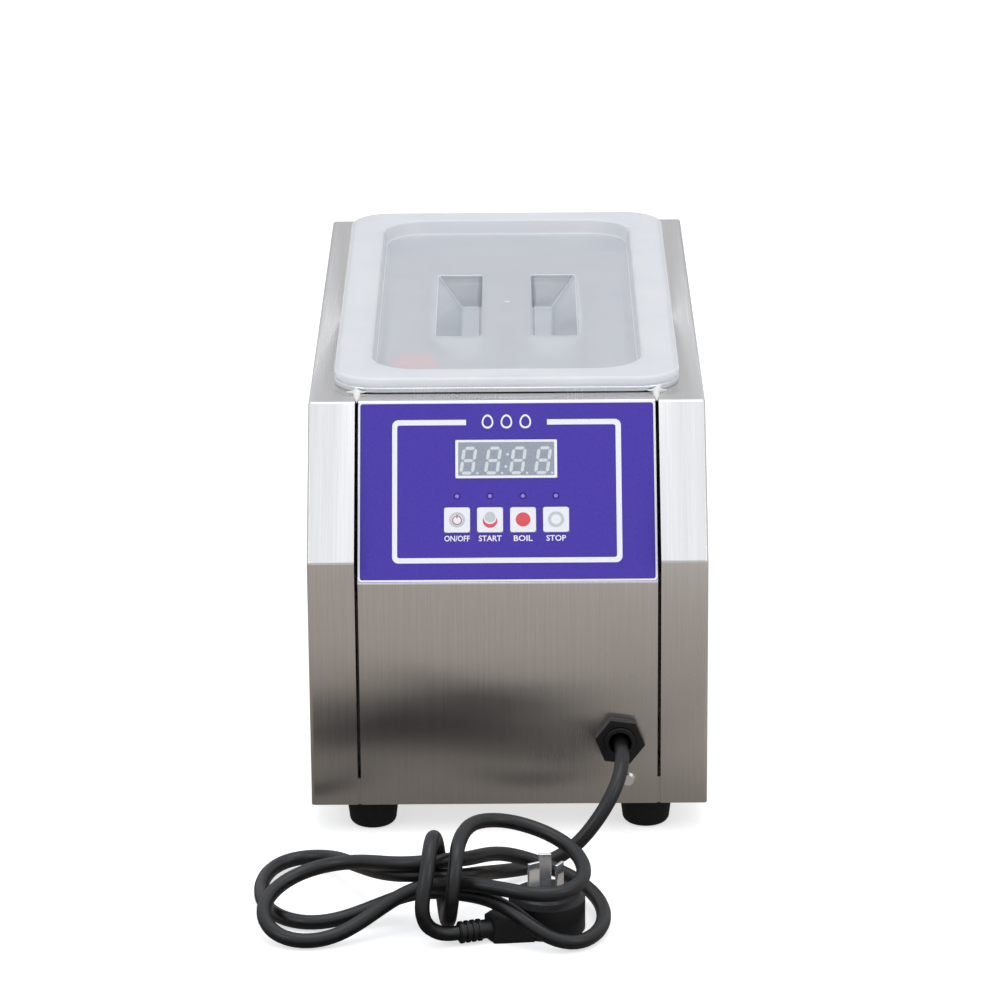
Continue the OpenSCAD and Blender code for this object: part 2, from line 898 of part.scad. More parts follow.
// Small ball valve with a hex inlet, a round barrel and a hose spout
module valve_body() {
    place()
        color(colour_brass)
            difference() {
                union() {
                    translate([0, valve_y0, drain_z])
                        along_y()
                            rotate([0, 0, 30])
                                hex(drain_d + 8, valve_inlet_l);
                    translate([0, valve_y0 + valve_inlet_l - 1, drain_z])
                        along_y()
                            cylinder(d = valve_barrel_d + 1, h = valve_barrel_l + 2);
                    translate([0, valve_y0 + valve_inlet_l + valve_barrel_l, drain_z])
                        along_y()
                            rotate([0, 0, 30])
                                hex(drain_d + 5, valve_outlet_l);
                    translate([0, valve_end_y - spout_l, drain_z])
                        along_y()
                            spout();
                    translate([0, valve_axis_y, drain_z])
                        cylinder(d = stem_d + 6, h = lever_z - 0.3 - drain_z);
                }
                translate([0, valve_y0 - 1, drain_z])
                    along_y()
                        cylinder(d = drain_d + 2 * run_fit, h = valve_inlet_l + 1);
                translate([0, valve_y0, drain_z])
                    along_y()
                        cylinder(d = drain_bore_d - 2, h = valve_end_y);
                translate([0, valve_axis_y, drain_z])
                    sphere(d = ball_d + 2 * run_fit);
                translate([0, valve_axis_y, drain_z])
                    cylinder(d = stem_d + 2 * run_fit, h = valve_barrel_d);
            }
}

// Plain hose spout with a bevelled end
module spout() {
    translate([0, 0, -1])
        cylinder(d = spout_d, h = spout_l);
    translate([0, 0, spout_l - 1])
        cylinder(d1 = spout_d, d2 = spout_d - 2, h = 1);
}

// Bored ball and its stem, which the lever turns
module valve_ball() {
    place()
        color(colour_bright)
            translate([0, valve_axis_y, 0])
                difference() {
                    union() {
                        translate([0, 0, drain_z])
                            sphere(d = ball_d);
                        translate([0, 0, drain_z])
                            cylinder(d = stem_d, h = lever_z - drain_z + 7);
                    }
                    translate([-ball_d, 0, drain_z])
                        rotate([0, 90, 0])
                            cylinder(d = drain_bore_d - 2, h = 2 * ball_d);
                }
}

// Lever across the pipe when the valve is shut
module valve_lever() {
    grip_l = lever_l - 16;
    place()
        color("firebrick")
            translate([0, valve_axis_y, lever_z])
                difference() {
                    union() {
                        cylinder(d = 15, h = 2);
                        translate([0, -5, 0])
                            cube([lever_l - 4, 10, 2]);
                        translate([lever_l - grip_l, -6, -1.2])
                            cube([grip_l - 6, 12, 4.4]);
                        translate([lever_l - 6, 0, -1.2])
                            cylinder(d = 12, h = 4.4);
                    }
                    translate([0, 0, -1])
                        cylinder(d = stem_d + 2 * run_fit, h = 4, $fn = 32);
                }
}

module valve_lever_nut() {
    place()
        color(colour_bright)
            translate([0, valve_axis_y, lever_z + 2])
                difference() {
                    hex(10, 4);
                    translate([0, 0, -1])
                        cylinder(d = stem_d + 2 * run_fit, h = 6, $fn = 32);
                }
}

// ---------- basket and lid ----------

// Positions of a row of perforations over a length l
function perf_row(l) =
    let (n = floor((l - perf_d - 8) / perf_pitch))
    [for (i = [0:n]) (i - n / 2) * perf_pitch];

module perforated(w, h) {
    difference() {
        translate([-w / 2, -h / 2])
            square([w, h]);
        for (x = perf_row(w), y = perf_row(h))
            translate([x, y])
                circle(d = perf_d, $fn = 24);
    }
}

// Perforated sheet basket on four legs
module egg_basket() {
    y0 = pan_mid_y - basket_l / 2;
    leg_d = 5;
    side_z = basket_z + basket_wall_h / 2;
    place()
        color(colour_bright)
            difference() {
                union() {
                    translate([0, pan_mid_y, basket_z])
                        linear_extrude(basket_t)
                            perforated(basket_w, basket_l);
                    for (s = [-1, 1])
                        translate([s * (basket_w - basket_t) / 2 - basket_t / 2, pan_mid_y,
                                   side_z])
                            rotate([90, 0, 90])
                                linear_extrude(basket_t)
                                    perforated(basket_l, basket_wall_h);
                    for (y = [y0, y0 + basket_l - basket_t])
                        translate([0, y + basket_t, side_z])
                            rotate([90, 0, 0])
                                linear_extrude(basket_t)
                                    perforated(basket_w, basket_wall_h);
                    for (s = [-1, 1], y = [y0 + 26, y0 + basket_l - 26])
                        translate([s * (basket_w / 2 - 12), y, pan_floor_z + 0.3])
                            cylinder(d = leg_d, h = basket_leg_h - 0.3 + basket_t, $fn = 24);
                    translate([-post_x, post_y, basket_z])
                        cylinder(d = 3 * post_d, h = basket_t + 1);
                }
                translate([-post_x, post_y, basket_z - 1])
                    cylinder(d = post_d - 2 + 2 * run_fit, h = basket_t + 4, $fn = 32);
            }
}

// Upright post with a thinner threaded end through the basket's floor and a nut below
module basket_post() {
    foot_top = basket_z + basket_t + 1;
    place()
        color(colour_bright)
            translate([-post_x, post_y, 0]) {
                translate([0, 0, foot_top])
                    cylinder(d = post_d, h = knob_top - knob_h - foot_top, $fn = 32);
                translate([0, 0, basket_z - 4])
                    cylinder(d = post_d - 2, h = knob_top - 3 - basket_z + 4, $fn = 32);
                translate([0, 0, basket_z - 3.2])
                    hex(8, 3.2);
            }
}

module basket_knob() {
    edge_r = 2;
    place()
        color("indianred")
            translate([-post_x, post_y, knob_top - knob_h])
                difference() {
                    rotate_extrude()
                        union() {
                            polygon([[0, 0], [knob_d * 0.3, 0], [knob_d / 2, knob_h * 0.45],
                                     [knob_d / 2, knob_h - edge_r],
                                     [knob_d / 2 - edge_r, knob_h - edge_r],
                                     [knob_d / 2 - edge_r, knob_h], [0, knob_h]]);
                            translate([knob_d / 2 - edge_r, knob_h - edge_r])
                                circle(edge_r, $fn = 24);
                        }
                    translate([0, 0, -1])
                        cylinder(d = post_d - 2 + 2 * run_fit, h = knob_h - 1.5, $fn = 32);
                }
}

// Finger pocket, grown by t, with a sloped outer wall and sloped ends
module pocket(t, top) {
    r = 3 + t;
    bottom_w = pocket_w * 0.45;
    end_run = 13;
    x0 = grip_w / 2;
    y0 = pan_y0 + recess_front + pocket_front;
    hull() {
        translate([x0 + pocket_w / 2, y0 - t, top - eps])
            rounded_plate(pocket_w + 2 * t, pocket_l + 2 * t, eps, r, $fn = fine);
        translate([x0 + bottom_w / 2, y0 + end_run - t, recess_z - pocket_depth - t])
            rounded_plate(bottom_w + 2 * t, pocket_l - 2 * end_run + 2 * t, eps, r,
                          $fn = fine);
    }
}

// Moulded lid: flange with a skirt, recessed panel and two finger pockets
module lid() {
    skirt_w = 2.5;
    recess_y = pan_y0 + recess_front;
    recess_l = pan_rim_l - recess_front - recess_rear;
    place()
        color([0.85, 0.88, 0.9])
            difference() {
                union() {
                    difference() {
                        translate([0, pan_y0, rim_z])
                            rounded_plate(pan_rim_w, pan_rim_l, lid_h, rim_corner_r);
                        translate([0, pan_y0 + skirt_w, rim_z - 1])
                            rounded_plate(pan_rim_w - 2 * skirt_w, pan_rim_l - 2 * skirt_w,
                                          lid_h + 1 - lid_t, rim_corner_r - skirt_w);
                    }
                    translate([0, recess_y - lid_t, recess_z - lid_t])
                        rounded_plate(2 * (recess_half_w + lid_t), recess_l + 2 * lid_t,
                                      recess_depth + lid_t, recess_r + lid_t);
                    for (s = [0, 1])
                        mirror([s, 0, 0])
                            pocket(lid_t, recess_z);
                }
                translate([0, recess_y, recess_z])
                    rounded_plate(2 * recess_half_w, recess_l, recess_depth + 1, recess_r);
                for (s = [0, 1])
                    mirror([s, 0, 0])
                        pocket(0, recess_z + 2 * eps);
            }
}

// ---------- control panel ----------

module control_film() {
    edge = 0.8;
    place()
        on_slope()
            color([0.32, 0.24, 0.67])
                linear_extrude(film_t)
                    difference() {
                        translate([0, edge])
                            rounded_outline(2 * panel_half_w - 0.4, slope_l - 2 * edge, 1);
                        panel_cutouts(0);
                    }
}

module display_lens() {
    below = 0.8;
    place()
        on_slope()
            color([0.75, 0.76, 0.78])
                translate([controls_x, window_u, -below])
                    linear_extrude(below + film_t)
                        square([window_w - 2 * key_clear, window_h - 2 * key_clear],
                               center = true);
}

module display_module() {
    place()
        on_slope()
            color([0.2, 0.2, 0.22])
                translate([controls_x, window_u, board_top])
                    linear_extrude(board_gap + sheet_t - 0.8 - 0.1)
                        square([window_w - 1.4, window_h - 1.6], center = true);
}

module standoff_places() {
    for (x = standoff_xs, u = standoff_us)
        translate([x, u, 0])
            children();
}

// Control board with its buzzer and connector
module control_board() {
    place()
        on_slope()
            color(colour_board) {
                difference() {
                    translate([-board_w / 2, board_u0, board_top - board_t])
                        cube([board_w, board_u1 - board_u0, board_t]);
                    standoff_places()
                        translate([0, 0, board_top - board_t - 1])
                            cylinder(d = stud_d + 2 * seat, h = board_t + 2, $fn = 24);
                }
                translate([board_w / 2 - 18, window_u - 2, board_top])
                    cylinder(d = 12, h = board_gap - 1);
                translate([-board_w / 2 + 14, board_u0 + 4, board_top - board_t - 6])
                    cube([18, 6, 6]);
            }
}

module board_standoffs() {
    place()
        on_slope()
            color(colour_brass)
                standoff_places() {
                    translate([0, 0, board_top])
                        hex(standoff_af, board_gap);
                    translate([0, 0, board_top - board_t - 3.5])
                        cylinder(d = stud_d, h = board_t + 4, $fn = 24);
                }
}

module board_nuts() {
    place()
        on_slope()
            color(colour_bright)
                standoff_places()
                    translate([0, 0, board_top - board_t - 2.4])
                        difference() {
                            hex(standoff_af, 2.4);
                            translate([0, 0, -1])
                                cylinder(d = stud_d + 2 * run_fit, h = 5, $fn = 24);
                        }
}

module key_switches() {
    place()
        on_slope()
            color(colour_black)
                for (x = key_xs)
                    translate([x, key_u, board_top]) {
                        translate([-3, -3, 0])
                            cube([6, 6, switch_h]);
                        cylinder(d = 3.2, h = switch_h + switch_pin_h, $fn = 24);
                    }
}

module indicator_lamps() {
    place()
        on_slope()
            color([0.6, 0.5, 0.8])
                for (x = key_xs)
                    translate([x, lamp_u, 0]) {
                        translate([0, 0, board_top])
                            cylinder(d = lamp_d + 0.8, h = board_gap - 4, $fn = 24);
                        translate([0, 0, board_top])
                            cylinder(d = lamp_d, h = -board_top + film_t - lamp_d / 2,
                                     $fn = 24);
                        translate([0, 0, film_t - lamp_d / 2])
                            sphere(d = lamp_d, $fn = 24);
                    }
}

// Square key with a collar behind the sheet and a plunger over its switch
module key(i) {
    collar_w = key_w + 2;
    collar_t = 0.8;
    collar_top = -sheet_t - 0.2;
    plunger_end = board_top + switch_h + switch_pin_h + key_travel + run_fit;
    place()
        on_slope()
            color([0.92, 0.92, 0.93])
                translate([key_xs[i], key_u, 0]) {
                    translate([0, 0, collar_top - collar_t])
                        linear_extrude(film_t + key_proud - collar_top + collar_t)
                            rounded_square(key_w, key_w, 1.3, $fn = fine);
                    translate([0, 0, collar_top - collar_t])
                        linear_extrude(collar_t)
                            square(collar_w, center = true);
                    translate([0, 0, plunger_end])
                        cylinder(d = 3.5, h = collar_top - plunger_end, $fn = 24);
                }
}

// ---------- power side ----------

module power_places() {
    for (x = [power_x0 + 6, power_x0 + power_w - 6], y = [power_y0 + 6, power_y0 + power_l - 6])
        translate([x, y, 0])
            children();
}

// Power board with its transformer, relay and connectors
module power_board() {
    z = tray_z + power_rise;
    place() {
        color(colour_board)
            difference() {
                translate([power_x0, power_y0, z])
                    cube([power_w, power_l, board_t]);
                power_places()
                    translate([0, 0, z - 1])
                        cylinder(d = stud_d + 2 * seat, h = board_t + 2, $fn = 24);
            }
        color("goldenrod")
            translate([power_x0 + 14, power_y0 + 36, z + board_t])
                cube([34, 28, 24]);
        color("royalblue")
            translate([power_x0 + 60, power_y0 + 34, z + board_t])
                cube([22, 30, 17]);
        color("white")
            translate([power_x0 + 22, power_y0 + 4, z + board_t])
                cube([18, 6, 8]);
        color("white")
            translate([power_x0 + 54, power_y0 + 4, z + board_t])
                cube([26, 8, 10]);
    }
}

module board_spacers() {
    place()
        color(colour_brass)
            power_places() {
                translate([0, 0, tray_z])
                    hex(standoff_af, power_rise);
                translate([0, 0, tray_z])
                    cylinder(d = stud_d, h = power_rise + board_t, $fn = 24);
                translate([0, 0, tray_z + power_rise + board_t])
                    cylinder(d = 5.5, h = 1.6, $fn = 24);
            }
}

// Flat cable from the control board's connector down to the power board
module ribbon_cable() {
    t = 0.9;
    x0 = power_x0 + 23;
    w = 16;
    low = slope_yz(board_u0 + 4, board_top - board_t - 6);
    z_low = tray_z + power_rise + board_t + 3;
    place()
        color("lightgray")
            union() {
                translate([x0, low[0], z_low])
                    cube([w, t, low[1] - 0.3 - z_low]);
                translate([x0, low[0], z_low])
                    cube([w, power_y0 + 4 - low[0], t]);
            }
}

module terminal_block() {
    place()
        color([0.85, 0.84, 0.78])
            difference() {
                translate([block_x - block_w / 2, block_y, tray_z])
                    cube([block_w, block_l, block_h]);
                for (i = [-1, 0, 1], y = [5, 15])
                    translate([block_x + i * 10, block_y + y, tray_z + block_h - 6])
                        cylinder(d = 5, h = 7, $fn = 24);
            }
}

// Wires from the inlet to the terminals, and from the power board to the heater
module internal_wiring() {
    wire_d = 2;
    in_y = gland_seal_y + inner_l + 0.3;
    top = tray_z + block_h;
    board_z = tray_z + power_rise + board_t + 10.3;
    tab_y = wall_y - 14 - 17 - 0.3;
    place() {
        for (i = [-1, 0, 1])
            color(["saddlebrown", "seagreen", "royalblue"][i + 1])
                tube(spline([[gland_x + i * 2.4, in_y, gland_z],
                             [gland_x + i * 2.4, in_y + 6, gland_z],
                             [block_x + i * 8, block_y - 3, gland_z - 4],
                             [block_x + i * 10, block_y + 5, top + 8],
                             [block_x + i * 10, block_y + 5, top - 5]], 4), wire_d, 6);
        for (s = [-1, 1])
            color("firebrick")
                tube(spline([[s * heater_x, tab_y, heater_z],
                             [s * heater_x, tab_y - 7, heater_z - 4],
                             [s * heater_x, tab_y - 7, heater_z - 22],
                             [s * 6 - 2, tab_y - 4, board_z + 16],
                             [s * 6 - 2, power_y0 + 4, board_z + 14],
                             [s * 6 - 2, power_y0 + 8, board_z]], 4), wire_d, 6);
        color("seagreen")
            tube(spline([[block_x, block_y - 0.3, tray_z + 8], [block_x, block_y - 12, tray_z + 6],
                         [earth_x, 30, tray_z + 8], [earth_x, 11.3, earth_z]], 4), wire_d, 6);
    }
}

// ---------- inlet ----------

module earth_screw() {
    place()
        color(colour_bright)
            translate([earth_x, 0, earth_z])
                screw_y(rear_screw_d, 2 * rear_screw_d - 1, screw_head_h, 11);
}

module earth_nut() {
    place()
        color(colour_bright)
            translate([earth_x, 2 * sheet_t, earth_z])
                nut_y(7, rear_screw_d + 2 * run_fit, 3.2);
}

// Gland through the front panel: threaded sleeve in front, flange and clamp behind
module gland_body() {
    place()
        color(colour_black)
            translate([gland_x, 0, gland_z])
                difference() {
                    union() {
                        translate([0, gland_end, 0])
                            along_y()
                                cylinder(d = gland_sleeve_d, h = sheet_t - gland_end + 1);
                        translate([0, sheet_t, 0])
                            along_y()
                                hex(gland_nut_af, gland_flange_t);
                        translate([0, sheet_t + gland_flange_t - 1, 0])
                            along_y()
                                cylinder(d = gland_sleeve_d + 2, h = 17);
                    }
                    translate([0, gland_end - 1, 0])
                        along_y()
                            cylinder(d = gland_bore_d, h = 40);
                }
}

module gland_locknut() {
    place()
        color(colour_black)
            translate([gland_x, -gland_nut_t, gland_z])
                rotate([0, 8, 0])
                    nut_y(gland_nut_af, gland_sleeve_d + 2 * run_fit, gland_nut_t);
}

module gland_seal() {
    place()
        color([0.2, 0.2, 0.2])
            translate([gland_x, gland_seal_y, gland_z])
                difference() {
                    along_y()
                        cylinder(d = gland_bore_d - 2 * run_fit, h = 12);
                    translate([0, -1, 0])
                        along_y()
                            cylinder(d = cord_d + 2 * run_fit, h = 14);
                }
}

// Sheathed end of the cord inside the cabinet
module inner_cable() {
    place()
        color(colour_black)
            translate([gland_x, gland_seal_y, gland_z])
                along_y()
                    cylinder(d = cord_d, h = inner_l);
}

// ---------- mains cord ----------

// Point of a uniform cubic B-spline span between b and c
function spline_point(a, b, c, d, t) =
    (pow(1 - t, 3) * a + (3 * pow(t, 3) - 6 * t * t + 4) * b
     + (-3 * pow(t, 3) + 3 * t * t + 3 * t + 1) * c + pow(t, 3) * d) / 6;

// Smooth curve over a list of points, which starts and ends on the first and last
function spline(p, n) =
    let (q = concat([2 * p[0] - p[1]], p, [2 * p[len(p) - 1] - p[len(p) - 2]]))
    concat([for (i = [1:len(p) - 1], k = [0:n - 1])
            spline_point(q[i - 1], q[i], q[i + 1], q[i + 2], k / n)], [p[len(p) - 1]]);

function unit(v) = v / norm(v);

function tangent(p, i) = unit(p[min(i + 1, len(p) - 1)] - p[max(i - 1, 0)]);

// Sideways vectors along the curve, each turned as little as possible from the last
function frames(p) =
    [for (i = 0, v = unit(cross(tangent(p, 0), [0.1, 0.2, 1])); i < len(p);
          i = i + 1,
          v = i < len(p) ? unit(v - (v * tangent(p, i)) * tangent(p, i)) : v) v];

// Round tube along the points p
module tube(p, d, sides) {
    f = frames(p);
    n = len(p);
    rings = [for (i = [0:n - 1], j = [0:sides - 1])
        let (t = tangent(p, i), u = f[i], v = cross(t, u), a = 360 * j / sides)
        p[i] + d / 2 * (cos(a) * u + sin(a) * v)];
    walls = [for (i = [0:n - 2], j = [0:sides - 1], k = [0, 1])
        let (a = i * sides + j, b = i * sides + (j + 1) % sides)
        k == 0 ? [a, b, b + sides] : [a, b + sides, a + sides]];
    caps = [for (j = [1:sides - 2], k = [0, 1])
        k == 0 ? [0, j + 1, j]
               : [(n - 1) * sides, (n - 1) * sides + j, (n - 1) * sides + j + 1]];
    polyhedron(rings, concat(walls, caps), convexity = 10);
}

// Distance of the point p from the straight line between a and b
function span_gap(p, a, b) =
    let (t = max(0, min(1, (p - a) * (b - a) / ((b - a) * (b - a)))))
    norm(p - a - t * (b - a));

// Least distance of the curve p to itself, leaving out m neighbours on each side
function least_gap(p, m) =
    min([for (i = [0:len(p) - m - 2], j = [i + m:len(p) - 2]) span_gap(p[i], p[j], p[j + 1])]);

// The lead, the loops of its hank and the wraps round their waist, as one tube
module mains_cord() {
    path = spline(cord_route, 2);
    echo("least gap of the cord to itself, mm", least_gap(path, 5) - cord_d);
    place()
        color(colour_black)
            tube(path, cord_d, 8);
}

// Moulded plug with its boot and its ribbed strain relief
module plug_body() {
    v = boot_end - [plug_at[0], plug_at[1], boot_end[2]];
    n = norm(v);
    rib_l = norm(relief_end - boot_end) - boot_r;
    edge = 2.5;
    place()
        color(colour_black) {
            difference() {
                translate(concat(plug_at, 0)) {
                    cylinder(r = plug_r, h = plug_h - edge);
                    translate([0, 0, plug_h - edge])
                        cylinder(r1 = plug_r, r2 = plug_r - edge, h = edge);
                }
                blade_places()
                    translate([0, 0, plug_h - blade_seat])
                        linear_extrude(blade_seat + 1)
                            square([blade_t + 2 * run_fit, blade_w + 2 * run_fit],
                                   center = true);
            }
            translate(concat(plug_at, 0))
                rotate([0, 0, atan2(v[1], v[0])])
                    linear_extrude(boot_h)
                        polygon([for (s = [-1, 1], q = [0, 1, 2]) let (k = s < 0 ? q : 2 - q)
                            [[plug_r - 4, s * 0.7 * plug_r], [n, s * boot_r],
                             [n + boot_r * 0.6, s * boot_r * 0.7]][k]]);
            translate(boot_end)
                rotate([0, 90, atan2(relief_dir[1], relief_dir[0])]) {
                    translate([0, 0, 1])
                        cylinder(d = cord_d + 2, h = rib_l + boot_r - 1);
                    for (i = [0:3])
                        translate([0, 0, boot_r + (i + 0.5) * rib_l / 4.2])
                            cylinder(d = cord_d + 3.6, h = rib_l / 8);
                }
        }
}

// Two slanted blades and an earth blade, which is the one nearest to the cord
module blade_places() {
    v = boot_end - [plug_at[0], plug_at[1], boot_end[2]];
    translate(concat(plug_at, 0))
        rotate([0, 0, atan2(-v[0], v[1])])
            for (b = [[-blade_pitch / 2, -3, 30], [blade_pitch / 2, -3, -30], [0, 7.3, 0]])
                translate([b[0], b[1], 0])
                    rotate([0, 0, b[2]])
                        children();
}

module plug_blades() {
    place()
        color(colour_bright)
            blade_places()
                translate([0, 0, plug_h - blade_seat])
                    linear_extrude(blade_seat + blade_l)
                        square([blade_t, blade_w], center = true);
}

// ---------- nodes ----------

side_panel(-1);  // side_panel_left
side_panel(1);  // side_panel_right
front_panel();
rear_cover();
base_tray();
panel_joiners();
rear_screws();
foot(-1, -1);  // foot_front_left
foot(1, -1);  // foot_front_right
foot(-1, 1);  // foot_rear_left
foot(1, 1);  // foot_rear_right
foot_screws();
foot_nuts();
water_pan();
rim_sealant();
heater_element();
heater_gaskets();
heater_nuts();
temperature_probe();
probe_nut();
thermal_cutout();
drain_spigot();
drain_nut();
drain_elbow();
drain_grommet();
valve_body();
valve_ball();
valve_lever();
valve_lever_nut();
egg_basket();
basket_post();
basket_knob();
lid();
control_film();
display_lens();
display_module();
control_board();
board_standoffs();
board_nuts();
key_switches();
indicator_lamps();
key(0);  // key_power
key(1);  // key_start
key(2);  // key_boil
key(3);  // key_stop
power_board();
board_spacers();
ribbon_cable();
terminal_block();
internal_wiring();
earth_screw();
earth_nut();
gland_body();
gland_locknut();
gland_seal();
inner_cable();
mains_cord();
plug_body();
plug_blades();
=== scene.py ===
# %% [markdown]
# # A countertop egg boiler
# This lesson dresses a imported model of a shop's egg boiler. The real one is a folded
# stainless cabinet with a drawn pan let into its top, a moulded clear lid, a sloped
# control panel and a mains lead that lies coiled in front of it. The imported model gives
# every piece its place and size, so nothing here is fitted by eye: each piece is laid out
# in the machine's own millimetres and moved into the shared frame by one matrix.

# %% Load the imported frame
import math

import bmesh
import bpy
from mathutils import Matrix, Vector, noise


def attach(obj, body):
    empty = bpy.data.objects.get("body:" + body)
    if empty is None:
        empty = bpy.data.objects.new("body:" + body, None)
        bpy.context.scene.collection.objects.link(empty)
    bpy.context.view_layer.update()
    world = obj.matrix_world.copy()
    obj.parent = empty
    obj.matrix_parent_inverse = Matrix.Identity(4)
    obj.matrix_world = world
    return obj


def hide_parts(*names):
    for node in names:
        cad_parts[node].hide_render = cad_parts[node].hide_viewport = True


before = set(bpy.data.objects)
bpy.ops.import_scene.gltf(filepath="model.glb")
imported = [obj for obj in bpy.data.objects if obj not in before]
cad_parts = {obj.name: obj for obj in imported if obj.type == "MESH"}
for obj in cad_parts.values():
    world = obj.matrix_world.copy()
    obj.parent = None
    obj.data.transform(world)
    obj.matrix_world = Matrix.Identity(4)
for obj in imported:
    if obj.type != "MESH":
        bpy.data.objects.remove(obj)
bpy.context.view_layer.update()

# %% [markdown]
# The machine is measured from its front face: x from the middle, y rearwards and z up
# from the worktop, in millimetres. The control panel leans back at 55.5 degrees, so it
# has coordinates of its own: x, u up the slope and w out of it. Two more matrices put
# flat outlines on that slope and on the upright front face.

# %% Machine, slope and face matrices
MM = 0.001
FRONT = -0.227
DECK = 213.0
BASE = 16.0
SLOPE_ANGLE = math.atan2(78.5, 54)
MACHINE = Matrix.Translation((0, FRONT, 0)) @ Matrix.Scale(MM, 4)
SLOPE = MACHINE @ Matrix.Translation((0, 0, 134.5)) @ Matrix.Rotation(SLOPE_ANGLE, 4, "X")
FACE = MACHINE @ Matrix.Rotation(math.pi / 2, 4, "X")
print("slope angle", round(math.degrees(SLOPE_ANGLE), 2))

# %% [markdown]
# The photograph is taken from two and a half metres with a long lens, a little above the
# lid. A long lens keeps the cabinet's sides almost parallel. The camera is placed from
# its measured pitch, yaw and roll, and it has no shift and no depth of field.

# %% Camera
pitch, yaw, roll = (math.radians(v) for v in (18.512, -0.2247, -0.4527))
ahead = Vector((math.sin(yaw) * math.cos(pitch), math.cos(yaw) * math.cos(pitch),
                -math.sin(pitch)))
level = Vector((math.cos(yaw), -math.sin(yaw), 0))
upward = level.cross(ahead)
right = math.cos(roll) * level + math.sin(roll) * upward
over = -math.sin(roll) * level + math.cos(roll) * upward
camera = bpy.data.objects.new("shop_camera", bpy.data.cameras.new("shop_camera"))
bpy.context.collection.objects.link(camera)
turn = Matrix((right, over, -ahead)).transposed().to_4x4()
camera.matrix_world = Matrix.Translation((0.004871, -2.37105, 0.89602)) @ turn
camera.data.lens = 164.52
camera.data.sensor_width = 36
camera.data.clip_end = 50
bpy.context.scene.camera = camera
bpy.context.scene.view_settings.view_transform = "Standard"
print("camera looks along", [round(v, 3) for v in ahead])

# %% [markdown]
# Every finish below is one Principled shader with a few nodes of texture before it. One
# small function adds a node with its settings and links. Colours are written as sRGB hex
# values, as a paint card gives them, and a second function turns them to the linear
# numbers that a shader adds up.

# %% Helpers for materials
def linear(hex_colour):
    """Linear RGBA of an sRGB hex colour such as "#C8C4BE"."""
    parts = [int(hex_colour[i:i + 2], 16) / 255 for i in (1, 3, 5)]
    return [p / 12.92 if p <= 0.04045 else ((p + 0.055) / 1.055) ** 2.4 for p in parts] + [1]


def add(tree, kind, settings={}, links={}):
    """Adds a node, sets its properties or inputs, and links sockets into it."""
    node = tree.nodes.new(kind)
    for name, value in settings.items():
        if isinstance(name, str) and hasattr(node, name):
            setattr(node, name, value)
        else:
            node.inputs[name].default_value = value
    for name, source in links.items():
        tree.links.new(source, node.inputs[name])
    return node


def new_finish(name, settings):
    """A material with one Principled shader, and that shader."""
    material = bpy.data.materials.new(name)
    material.use_nodes = True
    tree = material.node_tree
    tree.nodes.clear()
    shader = add(tree, "ShaderNodeBsdfPrincipled", settings)
    add(tree, "ShaderNodeOutputMaterial", links={"Surface": shader.outputs[0]})
    return material, tree, shader


def grain(tree, scale, stretch=(1, 1, 1), detail=3.0):
    """Noise on the piece's own coordinates; scale is in features per metre."""
    place = add(tree, "ShaderNodeTexCoord")
    mapping = add(tree, "ShaderNodeMapping", {"Scale": stretch},
                  {"Vector": place.outputs["Object"]})
    return add(tree, "ShaderNodeTexNoise", {"Scale": scale, "Detail": detail},
               {"Vector": mapping.outputs[0]}).outputs["Fac"]


def between(tree, fac, low, high):
    """Remaps noise, whose middle two fifths hold nearly all of it, to low..high."""
    return add(tree, "ShaderNodeMapRange",
               {"From Min": 0.3, "From Max": 0.7, "To Min": low, "To Max": high},
               {"Value": fac}).outputs[0]


def two_tone(tree, shader, fac, dark, light):
    """Base colour that wanders between two hex colours."""
    share = between(tree, fac, 0, 1)
    mix = add(tree, "ShaderNodeMix", {"data_type": "RGBA"}, {0: share})
    mix.inputs[6].default_value = linear(dark)
    mix.inputs[7].default_value = linear(light)
    tree.links.new(mix.outputs[2], shader.inputs["Base Color"])


def relief(tree, shader, height, distance, strength=0.5):
    """Bump from a height, whose full range is distance in millimetres."""
    bump = add(tree, "ShaderNodeBump", {"Distance": distance * MM, "Strength": strength},
               {"Height": height})
    tree.links.new(bump.outputs[0], shader.inputs["Normal"])

# %% [markdown]
# The cabinet is 430 stainless sheet with a brushed face. A belt leaves scratches along
# the sheet, which was folded with the grain running up the front, up the slope and back
# along the deck. The eye reads it as steel because reflections smear sideways, across
# the scratches: so the shader is anisotropic with its tangent round the Z axis. Real
# scratches are 0.05 mm wide; they are drawn 0.4 mm wide here so that they show.

# %% Brushed stainless of the cabinet
brushed, tree, shader = new_finish("brushed_430_stainless", {
    "Metallic": 1.0, "Anisotropic": 1.0})
place = add(tree, "ShaderNodeTexCoord")
split = add(tree, "ShaderNodeSeparateXYZ", links={0: place.outputs["Normal"]})
sideways = add(tree, "ShaderNodeMath", {"operation": "ABSOLUTE"}, {0: split.outputs["X"]})
on_wall = add(tree, "ShaderNodeMath", {"operation": "GREATER_THAN", 1: 0.7},
              {0: sideways.outputs[0]})
scratch = add(tree, "ShaderNodeMix", {"data_type": "FLOAT"}, {
    0: on_wall.outputs[0],
    2: grain(tree, 1.0, (2600, 20, 20), 4),
    3: grain(tree, 1.0, (20, 2600, 20), 4)}).outputs[0]
two_tone(tree, shader, scratch, "#D3D1CE", "#DCDAD8")
smear = grain(tree, 9, detail=2)
wander = add(tree, "ShaderNodeMath", {"operation": "MULTIPLY_ADD", 1: 0.45},
             {0: scratch, 2: smear}).outputs[0]
rough = add(tree, "ShaderNodeMapRange",
            {"From Min": 0.45, "From Max": 1.0, "To Min": 0.22, "To Max": 0.29},
            {"Value": wander}).outputs[0]
tree.links.new(rough, shader.inputs["Roughness"])
relief(tree, shader, scratch, 0.02, 0.05)
